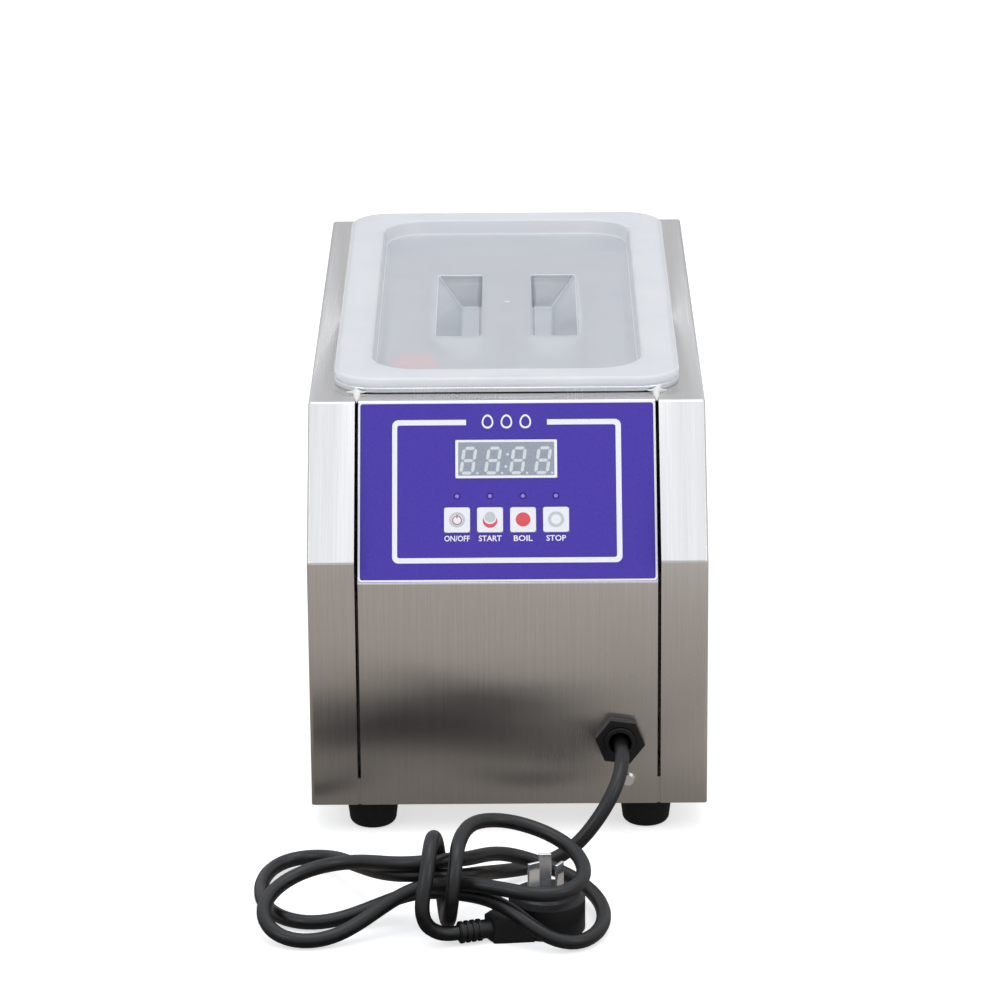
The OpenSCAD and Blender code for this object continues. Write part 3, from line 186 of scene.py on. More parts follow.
tangent = add(tree, "ShaderNodeTangent", {"direction_type": "RADIAL", "axis": "Z"})
tree.links.new(tangent.outputs[0], shader.inputs["Tangent"])
print(brushed.name, "with", len(tree.nodes), "nodes")

# %% [markdown]
# The pan and the basket are drawn and pressed from bright 304 sheet: smoother than the
# cabinet, with faint flow marks. The heater is the same family of steel but heated, so it
# is dull and a little brown. The strips that join the panels from behind are mild steel
# coloured near black as a painted shade, which makes the seams look like dark lines.

# %% Bright stainless, heated steel and brass
bright, tree, shader = new_finish("drawn_304_stainless", {"Metallic": 0.86})
flow = grain(tree, 30, (1, 1, 4), 3)
two_tone(tree, shader, flow, "#E8EAED", "#F5F6F8")
tree.links.new(between(tree, flow, 0.10, 0.2), shader.inputs["Roughness"])
relief(tree, shader, flow, 0.05, 0.1)

heated, tree, shader = new_finish("heated_sheath_steel", {"Metallic": 1.0})
scale_marks = grain(tree, 160, detail=4)
two_tone(tree, shader, scale_marks, "#6E6A62", "#8F897D")
tree.links.new(between(tree, scale_marks, 0.35, 0.55), shader.inputs["Roughness"])

# Painted shade: the joiners are near black so that the seams show as dark lines, where the
# gaps are only in shade.
seam_shade_steel, tree, shader = new_finish("seam_painted_shade_steel", {"Metallic": 0.4})
seam_shade_speckle = grain(tree, 800, detail=4)
two_tone(tree, shader, seam_shade_speckle, "#141413", "#1F1E1D")
tree.links.new(between(tree, seam_shade_speckle, 0.55, 0.7), shader.inputs["Roughness"])

brass, tree, shader = new_finish("turned_brass", {"Metallic": 1.0})
lathe_marks = grain(tree, 1.0, (60, 2200, 60), 2)
two_tone(tree, shader, lathe_marks, "#B9954F", "#D2B06A")
tree.links.new(between(tree, lathe_marks, 0.22, 0.34), shader.inputs["Roughness"])
relief(tree, shader, lathe_marks, 0.02, 0.2)
print("metals", [m.name for m in (bright, heated, seam_shade_steel, brass)])

# %% [markdown]
# The lead is sheathed in plasticised PVC, extruded and slightly glossy; the plug is
# moulded in the same PVC with a fine spark-eroded grain. The gland is moulded nylon and
# the feet are cured rubber. All four are black, and only their gloss and grain tell them
# apart.

# %% Black plastics and rubber
sheath, tree, shader = new_finish("extruded_pvc_sheath", {"Specular IOR Level": 0.45})
wax = grain(tree, 260, detail=3)
two_tone(tree, shader, wax, "#0C0C0D", "#131315")
tree.links.new(between(tree, wax, 0.3, 0.42), shader.inputs["Roughness"])
relief(tree, shader, wax, 0.08, 0.15)

moulded_pvc, tree, shader = new_finish("moulded_pvc", {"Specular IOR Level": 0.4})
spark = grain(tree, 1500, detail=2)
two_tone(tree, shader, spark, "#0E0E0F", "#151516")
tree.links.new(between(tree, spark, 0.38, 0.52), shader.inputs["Roughness"])
relief(tree, shader, spark, 0.05, 0.3)

nylon, tree, shader = new_finish("moulded_black_nylon", {"Specular IOR Level": 0.35})
moulding = grain(tree, 700, detail=2)
two_tone(tree, shader, moulding, "#0C0B0C", "#131213")
tree.links.new(between(tree, moulding, 0.3, 0.42), shader.inputs["Roughness"])
relief(tree, shader, moulding, 0.04, 0.25)

rubber, tree, shader = new_finish("cured_rubber", {"Specular IOR Level": 0.25})
bloom = grain(tree, 420, detail=4)
two_tone(tree, shader, bloom, "#090909", "#111010")
tree.links.new(between(tree, bloom, 0.55, 0.75), shader.inputs["Roughness"])
relief(tree, shader, bloom, 0.1, 0.3)
print("blacks", [m.name for m in (sheath, moulded_pvc, nylon, rubber)])

# %% [markdown]
# The lid is moulded polycarbonate, used until it is a little milky: it shows the knob and
# the pan under it as soft shapes. Three finishes share one recipe and differ in how much
# light they scatter: the flange is nearly white, the panel is hazed on its upper side only,
# and the polished inner walls of the pockets show the steel behind them. The upright walls
# and the lips round the pockets take the flange's white finish as painted light: a painted
# highlight along the lips and a painted reflection on the walls, where edges catch light.
# Lamps reach the pan through the lid by a Transparent shader that only shadow rays see,
# because Cycles leaves out caustics.

# %% Polycarbonate of the lid
LIGHT_THROUGH = "#F4F6F9"


def polycarbonate(name, clear, tones, rough, cloud):
    """Plastic of which the share clear lets light through; cloud is features per metre."""
    material, tree, shader = new_finish(name, {
        "Transmission Weight": clear, "IOR": 1.5, "Specular IOR Level": 0.5})
    haze = grain(tree, cloud, detail=3)
    two_tone(tree, shader, haze, *tones)
    tree.links.new(between(tree, haze, *rough), shader.inputs["Roughness"])
    relief(tree, shader, haze, 0.1, 0.04)
    output = next(n for n in tree.nodes if n.type == "OUTPUT_MATERIAL")
    path = add(tree, "ShaderNodeLightPath")
    through = add(tree, "ShaderNodeBsdfTransparent", {"Color": linear(LIGHT_THROUGH)})
    mix = add(tree, "ShaderNodeMixShader", links={
        0: path.outputs["Is Shadow Ray"], 1: shader.outputs[0], 2: through.outputs[0]})
    tree.links.new(mix.outputs[0], output.inputs["Surface"])
    return material


milky = polycarbonate("milky_polycarbonate", 0.24, ("#F6F8FB", "#FCFDFE"), (0.1, 0.15), 30)
hazy = polycarbonate("hazed_polycarbonate", 0.55, ("#F3F6FA", "#F9FBFD"), (0.08, 0.13), 30)
polished = polycarbonate("polished_polycarbonate", 0.9, ("#F4F6FA", "#FCFDFF"),
                         (0.03, 0.07), 60)
print("lid finishes", [m.name for m in (milky, hazy, polished)])

# %% [markdown]
# The overlay is polyester film, printed on its back and finely textured on its face, so
# its violet looks lightly mottled. The inks on it, the key caps and the display filter
# are separate finishes. A diffusing silicone bead seals the pan's rim to the deck.

# %% Film, inks, key caps and sealant
film, tree, shader = new_finish("printed_polyester_film", {"Specular IOR Level": 0.3})
mottle = grain(tree, 900, detail=5)
two_tone(tree, shader, mottle, "#4233A1", "#4C39AB")
tree.links.new(between(tree, mottle, 0.48, 0.62), shader.inputs["Roughness"])
relief(tree, shader, mottle, 0.05, 0.35)


def ink(name, dark, light, rough=0.5):
    """Printed or moulded colour with a faint unevenness."""
    material, tree, shader = new_finish(name, {"Specular IOR Level": 0.4})
    speckle = grain(tree, 1400, detail=3)
    two_tone(tree, shader, speckle, dark, light)
    tree.links.new(between(tree, speckle, rough - 0.05, rough + 0.08),
                   shader.inputs["Roughness"])
    relief(tree, shader, speckle, 0.02, 0.2)
    return material


white_ink = ink("white_screen_ink", "#F0EFF6", "#FAFAFD")
red_ink = ink("red_screen_ink", "#DC5257", "#E55D62")
grey_ink = ink("pale_grey_screen_ink", "#C3C9CF", "#CCD1D7")
rose_ink = ink("rose_screen_ink", "#A2485A", "#AE5364")
cap_white = ink("moulded_key_cap_abs", "#EDEDF3", "#F6F6FA", 0.35)
filter_grey = ink("display_filter_acrylic", "#939AA6", "#A0A7B2", 0.3)
segment_white = ink("unlit_display_segments", "#D3D9DA", "#DDE2E3", 0.4)
lamp_lens = ink("diffused_lamp_epoxy", "#8F7CCB", "#9C89D4", 0.3)
sealant = ink("white_silicone", "#F2F2EE", "#FCFCF9", 0.35)
knob_red = ink("red_phenolic_knob", "#D92A1E", "#E3382B", 0.25)
vinyl_red = ink("dipped_red_vinyl", "#A82A24", "#B4342C", 0.3)
board_green = ink("green_solder_mask", "#165234", "#1E6240", 0.35)
polyamide = ink("moulded_polyamide", "#DAD8CB", "#E5E3D8", 0.45)
wire_jacket = ink("silicone_wire_jacket", "#8E3B2E", "#9E4638", 0.5)
cutout_black = ink("phenolic_cutout", "#1A1817", "#242120", 0.4)
fibre_red = ink("pressed_fibre_gasket", "#7A2E22", "#8A382A", 0.7)
print(len(bpy.data.materials), "finishes")

# %% [markdown]
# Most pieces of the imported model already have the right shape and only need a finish. A
# finish goes into the object's material slots, and nothing else of it changes.

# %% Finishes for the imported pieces
DRESSED = {
    brushed: ["side_panel_left", "side_panel_right", "front_panel", "rear_cover",
              "base_tray"],
    bright: ["water_pan", "egg_basket", "basket_post", "temperature_probe", "valve_ball",
             "valve_lever_nut", "board_nuts", "foot_screws", "foot_nuts", "rear_screws",
             "earth_screw", "earth_nut"],
    heated: ["heater_element"],
    brass: ["heater_nuts", "probe_nut", "drain_spigot", "drain_nut", "drain_elbow",
            "board_standoffs", "board_spacers", "valve_body", "plug_blades"],
    rubber: ["drain_grommet", "gland_seal", "foot_front_left", "foot_front_right",
             "foot_rear_left", "foot_rear_right"],
    sheath: ["inner_cable"],
    moulded_pvc: ["plug_body"],
    nylon: ["gland_body", "gland_locknut", "key_switches", "display_module"],
    cutout_black: ["thermal_cutout"],
    fibre_red: ["heater_gaskets"],
    board_green: ["control_board", "power_board"],
    polyamide: ["terminal_block", "ribbon_cable"],
    wire_jacket: ["internal_wiring"],
    vinyl_red: ["valve_lever"],
    knob_red: ["basket_knob"],
    film: ["control_film"],
    filter_grey: ["display_lens"],
    cap_white: ["key_power", "key_start", "key_boil", "key_stop"],
    lamp_lens: ["indicator_lamps"],
    sealant: ["rim_sealant"],
    hazy: ["lid"],
    seam_shade_steel: ["panel_joiners"],
}
for finish_, nodes in DRESSED.items():
    for node in nodes:
        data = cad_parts[node].data
        data.materials.clear()
        data.materials.append(finish_)
print(sum(map(len, DRESSED.values())), "packed pieces dressed")

# %% [markdown]
# The mains lead is the piece that gives the photograph its foreground. The route is the
# one that the solid follows: out of the gland and down in an S, across the worktop, two
# loops on each side of a waist, a bit more than one wrap round that waist and back to the
# plug's strain relief. A uniform cubic B-spline rounds the given points, so the curve never
# kinks. The lead is a curve with a round bevel, dense enough to look smooth.

# %% Mains lead
LEAD = [(55.9, 8, 51.3), (55.9, -6, 51.3), (57, -22, 50), (55, -36, 44), (49, -45, 34),
        (41, -49, 23), (32, -51, 13), (20, -53, 6.5), (7, -57, 4.6), (-5, -66, 7),
        (-12, -79, 12), (-17, -92, 17), (-23, -104, 21)]
LEFT_LOOP_1 = [(-33, -110, 24.5), (-45, -110, 24.5), (-56, -104, 22), (-66, -90, 18),
               (-74, -74, 14), (-82, -58, 10.5), (-90, -48, 8), (-101, -43, 6),
               (-112, -46, 5), (-119, -56, 4.3), (-122, -69, 4), (-122, -84, 4),
               (-119, -100, 4), (-111, -114, 4), (-98, -121, 4), (-84, -120, 5),
               (-71, -116, 8), (-59, -113, 12), (-47, -112, 16)]
RIGHT_LOOP_1 = [(-35, -115, 18), (-23, -118, 18), (-12, -123, 18), (-3, -132, 17.8),
                (6, -141, 15), (17, -147, 8), (29, -148, 4.4), (39, -141, 4),
                (45, -128, 5), (46, -112, 6), (42, -96, 7.5), (33, -82, 9.5),
                (21, -73, 12), (8, -70, 16), (-4, -75, 21), (-13, -87, 25),
                (-21, -101, 28.5)]
LEFT_LOOP_2 = [(-32, -112, 33), (-45, -114, 32), (-58, -108, 29.5), (-70, -99, 27),
               (-81, -93, 24), (-93, -91, 21), (-105, -95, 18), (-114, -104, 15),
               (-119, -116, 12), (-118, -128, 8.5), (-112, -137, 5.4), (-102, -142, 4),
               (-90, -141, 4), (-79, -136, 6), (-68, -130, 11), (-57, -124, 17),
               (-46, -121, 22)]
RIGHT_LOOP_2 = [(-34, -121, 25), (-22, -123, 25.6), (-11, -128, 26), (0, -134, 26.4),
                (11, -139, 26.2), (22, -139, 26), (31, -133, 26.6), (36, -122, 27.5),
                (36, -109, 29.5), (31, -97, 32), (22, -88, 35), (11, -83, 38),
                (-1, -82, 41), (-12, -87, 43.5), (-20, -97, 45)]
WRAPS = []
for k in range(1, 16):
    a, share = math.radians(30 * (k - 1)), min(k / 12, 1)
    r = 20 + 1.5 * share
    WRAPS.append((-23 - 13 * k / 12, -114 - 5 * share - r * math.sin(a),
                  r + 4 + r * math.cos(a)))
RELIEF_END, BOOT_END = Vector((-24.5, -137.2, 6)), Vector((-6, -131, 6))
back = (RELIEF_END - BOOT_END).normalized()
route = [Vector(p) for p in LEAD + LEFT_LOOP_1 + RIGHT_LOOP_1 + LEFT_LOOP_2
         + RIGHT_LOOP_2 + WRAPS + [(-41, -142, 28.5), (-42, -144, 20), (-40, -143, 11.5)]]
route += [RELIEF_END + 8 * back, RELIEF_END]


def b_spline(points, steps):
    """Points of a uniform cubic B-spline that starts and ends on its first and last."""
    q = [2 * points[0] - points[1]] + points + [2 * points[-1] - points[-2]]
    line = []
    for i in range(1, len(points)):
        for k in range(steps):
            t = k / steps
            line.append(((1 - t) ** 3 * q[i - 1] + (3 * t ** 3 - 6 * t * t + 4) * q[i]
                         + (-3 * t ** 3 + 3 * t * t + 3 * t + 1) * q[i + 1]
                         + t ** 3 * q[i + 2]) / 6)
    return line + [points[-1]]


line = [MACHINE @ p for p in b_spline(route, 4)]
curve = bpy.data.curves.new("mains_lead", "CURVE")
curve.dimensions = "3D"
spline = curve.splines.new("POLY")
spline.points.add(len(line) - 1)
for point, co in zip(spline.points, line):
    point.co = (*co, 1)
curve.bevel_depth = 3.6 * MM
curve.bevel_resolution = 6
curve.use_fill_caps = True
curve.materials.append(sheath)
mains_lead = bpy.data.objects.new("mains_lead", curve)
bpy.context.collection.objects.link(mains_lead)
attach(mains_lead, "cabinet")
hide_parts("mains_cord")

# %% [markdown]
# Three small functions serve all the pieces that follow. One keeps a finished mesh as a
# piece that rides on a body. One turns live modifiers into a plain mesh. One copies a
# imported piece, rounds its edges with a bevel and stands for it, because moulded and
# turned things have no knife edges, and a rounded edge is what catches the light.

# %% Helpers for pieces
SHARP = math.radians(35)


def keep(name, mesh, finishes, body, nodes=(), flat=False):
    """Keeps a mesh as a piece that rides on a body and stands for the given nodes."""
    piece = bpy.data.objects.new(name, mesh)
    bpy.context.collection.objects.link(piece)
    for finish_ in finishes if isinstance(finishes, list) else [finishes]:
        mesh.materials.append(finish_)
    if not flat:
        mesh.shade_smooth()
        mesh.set_sharp_from_angle(angle=SHARP)
    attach(piece, body)
    if nodes:
        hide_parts(*nodes)
    return piece


def settle(piece):
    """Applies the piece's modifiers, which leaves a plain mesh."""
    graph = bpy.context.evaluated_depsgraph_get()
    mesh = bpy.data.meshes.new_from_object(piece.evaluated_get(graph))
    piece.modifiers.clear()
    piece.data = mesh
    return mesh


def bake_mesh(bm, name, matrix=None):
    """A mesh from bm with its normals outwards, moved by a matrix."""
    bmesh.ops.recalc_face_normals(bm, faces=bm.faces)
    mesh = bpy.data.meshes.new(name)
    bm.to_mesh(mesh)
    bm.free()
    if matrix:
        mesh.transform(matrix)
    return mesh


def softened(node, width, finish_, body, steps=2, angle=30, where=None):
    """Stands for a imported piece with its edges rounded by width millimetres."""
    bm = bmesh.new()
    bm.from_mesh(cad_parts[node].data)
    bmesh.ops.remove_doubles(bm, verts=bm.verts, dist=2e-6)
    bmesh.ops.dissolve_limit(bm, angle_limit=math.radians(0.6), verts=bm.verts,
                             edges=bm.edges)
    sharp = []
    for e in bm.edges:
        if len(e.link_faces) == 2 and e.calc_face_angle(0) > math.radians(angle):
            mid = (e.verts[0].co + e.verts[1].co) / 2 - Vector((0, FRONT, 0))
            if where is None or where(mid / MM):
                sharp.append(e)
    bmesh.ops.bevel(bm, geom=sharp, offset=width * MM, segments=steps, profile=0.5,
                    affect="EDGES", clamp_overlap=True)
    mesh = bpy.data.meshes.new(node + "_rounded")
    bm.to_mesh(mesh)
    bm.free()
    piece = keep(node + "_rounded", mesh, finish_, body, [node])
    weigh = piece.modifiers.new("weigh", "WEIGHTED_NORMAL")
    weigh.keep_sharp = True
    return piece


def rounded_outline(x0, x1, y0, y1, r, steps=6):
    """Counter-clockwise outline of a rectangle with rounded corners."""
    points = []
    for cx, cy, start in ((x1 - r, y1 - r, 0), (x0 + r, y1 - r, 90),
                          (x0 + r, y0 + r, 180), (x1 - r, y0 + r, 270)):
        for i in range(steps + 1):
            a = math.radians(start + 90 * i / steps)
            points.append((cx + r * math.cos(a), cy + r * math.sin(a)))
    return points


def circle_outline(x, y, r, steps=32):
    return [(x + r * math.cos(2 * math.pi * i / steps),
             y + r * math.sin(2 * math.pi * i / steps)) for i in range(steps)]


def prism(bm, outline, low, high, index=0):
    """Closed prism over a flat outline, from low to high."""
    rings = [[bm.verts.new((x, y, z)) for x, y in outline] for z in (low, high)]
    faces = [bm.faces.new(rings[1]), bm.faces.new(rings[0][::-1])]
    n = len(outline)
    for i in range(n):
        j = (i + 1) % n
        faces.append(bm.faces.new((rings[0][i], rings[0][j], rings[1][j], rings[1][i])))
    for f in faces:
        f.material_index = index


def band(bm, outer, inner, low, high, index=0, closed=True):
    """Flat band between two outlines with as many points each, from low to high."""
    rings = [[bm.verts.new((x, y, z)) for x, y in outline]
             for outline, z in ((outer, low), (outer, high), (inner, high), (inner, low))]
    n = len(outer)
    for i in range(n if closed else n - 1):
        j = (i + 1) % n
        for a, b in zip(rings, rings[1:] + rings[:1]):
            bm.faces.new((a[i], a[j], b[j], b[i])).material_index = index
    if not closed:
        for k in (0, n - 1):
            bm.faces.new([r[k] for r in rings]).material_index = index

# %% [markdown]
# ## The cabinet
# Each side panel is one sheet: a flat wall whose edge is folded in along the front, the
# slope, the deck and the back. A brake press leaves a fold with an outer radius of about
# twice the sheet, and that soft line of light is what says "bent sheet". So the outer
# skin is lofted: the side view is a bent line with rounded corners, and rings of it are
# set in from the fold's quarter circle. Solidify then gives it the sheet's 1 mm inwards.

# %% Side panels
def bent_line(points, radius, steps=5):
    """Points and outward normals of a line that bends clockwise with rounded corners."""
    normals = []
    for (y0, z0), (y1, z1) in zip(points, points[1:]):
        length = math.hypot(y1 - y0, z1 - z0)
        normals.append(Vector((-(z1 - z0) / length, (y1 - y0) / length)))
    made = [(Vector(points[0]), normals[0])]
    for p, n0, n1 in zip(points[1:-1], normals, normals[1:]):
        centre = Vector(p) - radius * (n0 + n1) / (1 + n0.dot(n1))
        a0, a1 = math.atan2(n0.y, n0.x), math.atan2(n1.y, n1.x)
        if a1 > a0:
            a1 -= 2 * math.pi
        for i in range(steps + 1):
            a = a0 + (a1 - a0) * i / steps
            n = Vector((math.cos(a), math.sin(a)))
            made.append((centre + radius * n, n))
    return made + [(Vector(points[-1]), normals[-1])]


SIDE_VIEW = [(0, BASE), (0, 145.5), (53, DECK), (405, DECK), (405, BASE)]
FOLD = 1.8


def thicken(piece, thickness):
    """Gives a skin its sheet thickness inwards."""
    solid = piece.modifiers.new("sheet", "SOLIDIFY")
    solid.thickness = thickness * MM
    solid.offset = -1
    solid.use_even_offset = True
    settle(piece)


def weigh_normals(piece):
    piece.data.shade_smooth()
    piece.data.set_sharp_from_angle(angle=SHARP)
    weigh = piece.modifiers.new("weigh", "WEIGHTED_NORMAL")
    weigh.keep_sharp = True
    settle(piece)


def side_sheet(side, node):
    outline = bent_line(SIDE_VIEW, 2.2)
    rings = [(100 - FOLD + FOLD * math.cos(a), FOLD * (1 - math.sin(a)))
             for a in (math.radians(15 * i) for i in range(7))] + [(76.5, 0)]
    bm = bmesh.new()
    grid = [[bm.verts.new((side * x, *(p - inset * n))) for p, n in outline]
            for x, inset in rings]
    for a, b in zip(grid, grid[1:]):
        for i in range(len(outline) - 1):
            bm.faces.new((a[i], a[i + 1], b[i + 1], b[i]))
    wall = bm.faces.new(grid[0])
    bmesh.ops.recalc_face_normals(bm, faces=bm.faces)
    wall.normal_update()
    if wall.normal.x * side < 0:
        bmesh.ops.reverse_faces(bm, faces=bm.faces)
    mesh = bpy.data.meshes.new(node)
    bm.to_mesh(mesh)
    bm.free()
    mesh.transform(MACHINE)
    piece = bpy.data.objects.new(node + "_sheet", mesh)
    bpy.context.collection.objects.link(piece)
    mesh.materials.append(brushed)
    thicken(piece, 1.0)
    weigh_normals(piece)
    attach(piece, "cabinet")
    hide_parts(node)
    return piece


side_sheets = [side_sheet(-1, "side_panel_left"), side_sheet(1, "side_panel_right")]
print("side panel box", [round(v, 4) for v in side_sheets[1].dimensions])

# %% [markdown]
# The front panel is a narrower strip of the same sheet, bent twice, with holes punched
# for the gland, the earth screw, the window, the lamps and the keys. It is lofted like
# the sides, thickened, and then the holes are cut with one Boolean from prisms that lie
# on the face and on the slope.

# %% Front panel
KEY_XS = [-25.15, -8.65, 7.85, 24.35]
skin = bmesh.new()
outline = bent_line([(0, BASE), (0, 134.5), (54, DECK), (66, DECK)], 1.6)
columns = [[skin.verts.new((x, *p)) for p, n in outline] for x in (-74.8, 74.8)]
for i in range(len(outline) - 1):
    skin.faces.new((columns[0][i], columns[1][i], columns[1][i + 1], columns[0][i + 1]))
mesh = bpy.data.meshes.new("front_panel_sheet")
skin.to_mesh(mesh)
skin.free()
mesh.transform(MACHINE)
mesh.materials.append(brushed)
front_sheet = bpy.data.objects.new("front_panel_sheet", mesh)
bpy.context.collection.objects.link(front_sheet)
thicken(front_sheet, 1.0)

punches = bmesh.new()
prism(punches, circle_outline(55.9, 51.3, 8.2, 48), -3, 3)
prism(punches, circle_outline(60, 29.1, 2.2, 24), -3, 3)
bmesh.ops.transform(punches, matrix=FACE, verts=punches.verts)
sloped = bmesh.new()
prism(sloped, rounded_outline(-26.2, 25.4, 54.1, 74.7, 0.2, 2), -3, 3)
for x in KEY_XS:
    prism(sloped, circle_outline(x, 45, 1.7, 24), -3, 3)
    prism(sloped, rounded_outline(x - 6.7, x + 6.7, 25.9, 39.3, 0.3, 2), -3, 3)
bmesh.ops.transform(sloped, matrix=SLOPE, verts=sloped.verts)
joined = bpy.data.meshes.new("punches_slope")
sloped.to_mesh(joined)
sloped.free()
punches.from_mesh(joined)
bmesh.ops.recalc_face_normals(punches, faces=punches.faces)
cut_mesh = bpy.data.meshes.new("punches")
punches.to_mesh(cut_mesh)
punches.free()
cutter = bpy.data.objects.new("punches", cut_mesh)
bpy.context.collection.objects.link(cutter)
punch = front_sheet.modifiers.new("punch", "BOOLEAN")
punch.operation, punch.solver, punch.object = "DIFFERENCE", "EXACT", cutter
settle(front_sheet)
bpy.data.objects.remove(cutter)
weigh_normals(front_sheet)
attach(front_sheet, "cabinet")
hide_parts("front_panel")
print("front panel faces", len(front_sheet.data.polygons))

# %% [markdown]
# The feet, the gland and the lead's plug are moulded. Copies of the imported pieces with
# rounded edges stand for them.

# %% Feet, gland and plug
for node in ("foot_front_left", "foot_front_right", "foot_rear_left", "foot_rear_right"):
    softened(node, 0.5, rubber, "cabinet")
softened("gland_body", 0.5, nylon, "cabinet")
softened("gland_locknut", 0.7, nylon, "cabinet", 3)
plug = softened("plug_body", 0.7, moulded_pvc, "cabinet", 3)
blades = softened("plug_blades", 0.35, bright, "cabinet")
print("plug faces", len(plug.data.polygons), "blades", len(blades.data.polygons))

# %% [markdown]
# The pan's rim is rolled over, so its outer edges are soft curves with a bright line
# along them and a dark one underneath. Only those edges are rounded: the where test
# leaves the pan's mouth and its holes as they are.

# %% Pan, valve and basket
softened("water_pan", 1.3, bright, "cabinet", 4,
         where=lambda m: m.z > 212.5 and (abs(m.x) > 76.5 or m.y < 77 or m.y > 381.5))
softened("valve_body", 0.5, brass, "cabinet")
softened("valve_lever", 0.8, vinyl_red, "lever", 3)
softened("valve_lever_nut", 0.4, bright, "lever")
knob = softened("basket_knob", 0.6, knob_red, "basket", 3)
print("knob box", [round(v, 4) for v in knob.dimensions])

# %% [markdown]
# The rear cover is held by six pan-head screws with cross recesses. They repeat, so a
# Geometry Nodes tree makes them: one head with its shank and its recess is built from
# mesh primitives and put on every point of a small input mesh. The tree has named inputs
# for its sizes and ends in Realize Instances and Set Material, because the export keeps
# only real geometry.

# %% Rear screws by Geometry Nodes
screws = bpy.data.node_groups.new("pan_head_screws", "GeometryNodeTree")
for name, kind in (("Geometry", "NodeSocketGeometry"), ("Head diameter", "NodeSocketFloat"),
                   ("Head height", "NodeSocketFloat"), ("Shank diameter", "NodeSocketFloat"),
                   ("Shank length", "NodeSocketFloat"), ("Recess width", "NodeSocketFloat")):
    screws.interface.new_socket(name=name, in_out="INPUT", socket_type=kind)
screws.interface.new_socket(name="Geometry", in_out="OUTPUT",
                            socket_type="NodeSocketGeometry")
sizes = add(screws, "NodeGroupInput")


def gn_math(tree, operation, a, b):
    """A Math node of two sockets or numbers."""
    values = {i: v for i, v in enumerate((a, b)) if isinstance(v, (int, float))}
    links = {i: v for i, v in enumerate((a, b)) if not isinstance(v, (int, float))}
    return add(tree, "ShaderNodeMath", {"operation": operation, **values}, links).outputs[0]


head = add(screws, "GeometryNodeMeshCone", {"Vertices": 32}, {
    "Radius Bottom": gn_math(screws, "MULTIPLY", sizes.outputs["Head diameter"], 0.5),
    "Radius Top": gn_math(screws, "MULTIPLY", sizes.outputs["Head diameter"], 0.39),
    "Depth": sizes.outputs["Head height"]})
shank = add(screws, "GeometryNodeMeshCylinder", {"Vertices": 24}, {
    "Radius": gn_math(screws, "MULTIPLY", sizes.outputs["Shank diameter"], 0.5),
    "Depth": sizes.outputs["Shank length"]})
below = add(screws, "ShaderNodeCombineXYZ", links={
    "Z": gn_math(screws, "MULTIPLY", sizes.outputs["Shank length"], -0.5)})
shank_down = add(screws, "GeometryNodeTransform", links={
    "Geometry": shank.outputs[0], "Translation": below.outputs[0]})
reach = gn_math(screws, "MULTIPLY", sizes.outputs["Head diameter"], 0.55)
deep = gn_math(screws, "MULTIPLY", sizes.outputs["Head height"], 1.1)
arms = []
for across, along in ((reach, sizes.outputs["Recess width"]),
                      (sizes.outputs["Recess width"], reach)):
    size = add(screws, "ShaderNodeCombineXYZ", links={"X": across, "Y": along, "Z": deep})
    arm = add(screws, "GeometryNodeMeshCube", links={"Size": size.outputs[0]})
    lift = add(screws, "ShaderNodeCombineXYZ",
               links={"Z": sizes.outputs["Head height"]})
    arms.append(add(screws, "GeometryNodeTransform", links={
        "Geometry": arm.outputs[0], "Translation": lift.outputs[0]}).outputs[0])
cross = add(screws, "GeometryNodeMeshBoolean", {"operation": "DIFFERENCE"},
            {"Mesh 1": head.outputs[0]})
for arm in arms:
    screws.links.new(arm, cross.inputs["Mesh 2"])
whole = add(screws, "GeometryNodeJoinGeometry")
for part in (cross.outputs[0], shank_down.outputs[0]):
    screws.links.new(part, whole.inputs[0])
stand = add(screws, "GeometryNodeInstanceOnPoints", {"Rotation": (-math.pi / 2, 0, 0)},
            {"Points": sizes.outputs["Geometry"], "Instance": whole.outputs[0]})
real = add(screws, "GeometryNodeRealizeInstances", links={0: stand.outputs[0]})
paint = add(screws, "GeometryNodeSetMaterial", {"Material": bright}, {0: real.outputs[0]})
add(screws, "NodeGroupOutput", links={0: paint.outputs[0]})

spots = bmesh.new()
for s in (-1, 1):
    for share in (0.2, 0.5, 0.8):
        spots.verts.new(MACHINE @ Vector((s * 70.3, 405, BASE + share * 197)))
spot_mesh = bpy.data.meshes.new("rear_screw_heads")
spots.to_mesh(spot_mesh)
spots.free()
rear_screws = bpy.data.objects.new("rear_screw_heads", spot_mesh)
bpy.context.collection.objects.link(rear_screws)
fit = rear_screws.modifiers.new("screws", "NODES")
fit.node_group = screws
values = {"Head diameter": 8.0, "Head height": 2.0, "Shank diameter": 4.0,
          "Shank length": 8.0, "Recess width": 1.1}
for item in screws.interface.items_tree:
    if item.in_out == "INPUT" and item.name in values:
        fit[item.identifier] = values[item.name] * MM
settle(rear_screws)
rear_screws.data.shade_smooth()
rear_screws.data.set_sharp_from_angle(angle=math.radians(30))
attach(rear_screws, "cabinet")
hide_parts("rear_screws")
print("screw faces", len(rear_screws.data.polygons))

# %% [markdown]
# ## The lid
# The real lid is one injection moulding: a flange with a short skirt that sits on the
# rim, a recessed panel and two finger pockets with a grip bar between them. Each surface
# is lofted from loops of a rounded rectangle, each loop set in and lowered a little, so
# every edge gets its own radius. The upper and the lower surface are lofted separately
# and joined at the skirt, because a solidified skin would fold over itself at the
# tight edges. The panel between the loops is filled round the mouths of the pockets.
# Each face then takes one of the three finishes by where it lies and which way it faces.

# %% Lid
def lid_loop(bm, grow, z, outline, steps=8):
    """Loop of vertices of a rounded rectangle, grown by grow millimetres, at height z."""
    x0, x1, y0, y1, r = outline
    points = rounded_outline(x0 - grow, x1 + grow, y0 - grow, y1 + grow,
                             max(r + grow, 0.3), steps)
    return [bm.verts.new((x, y, z)) for x, y in points]


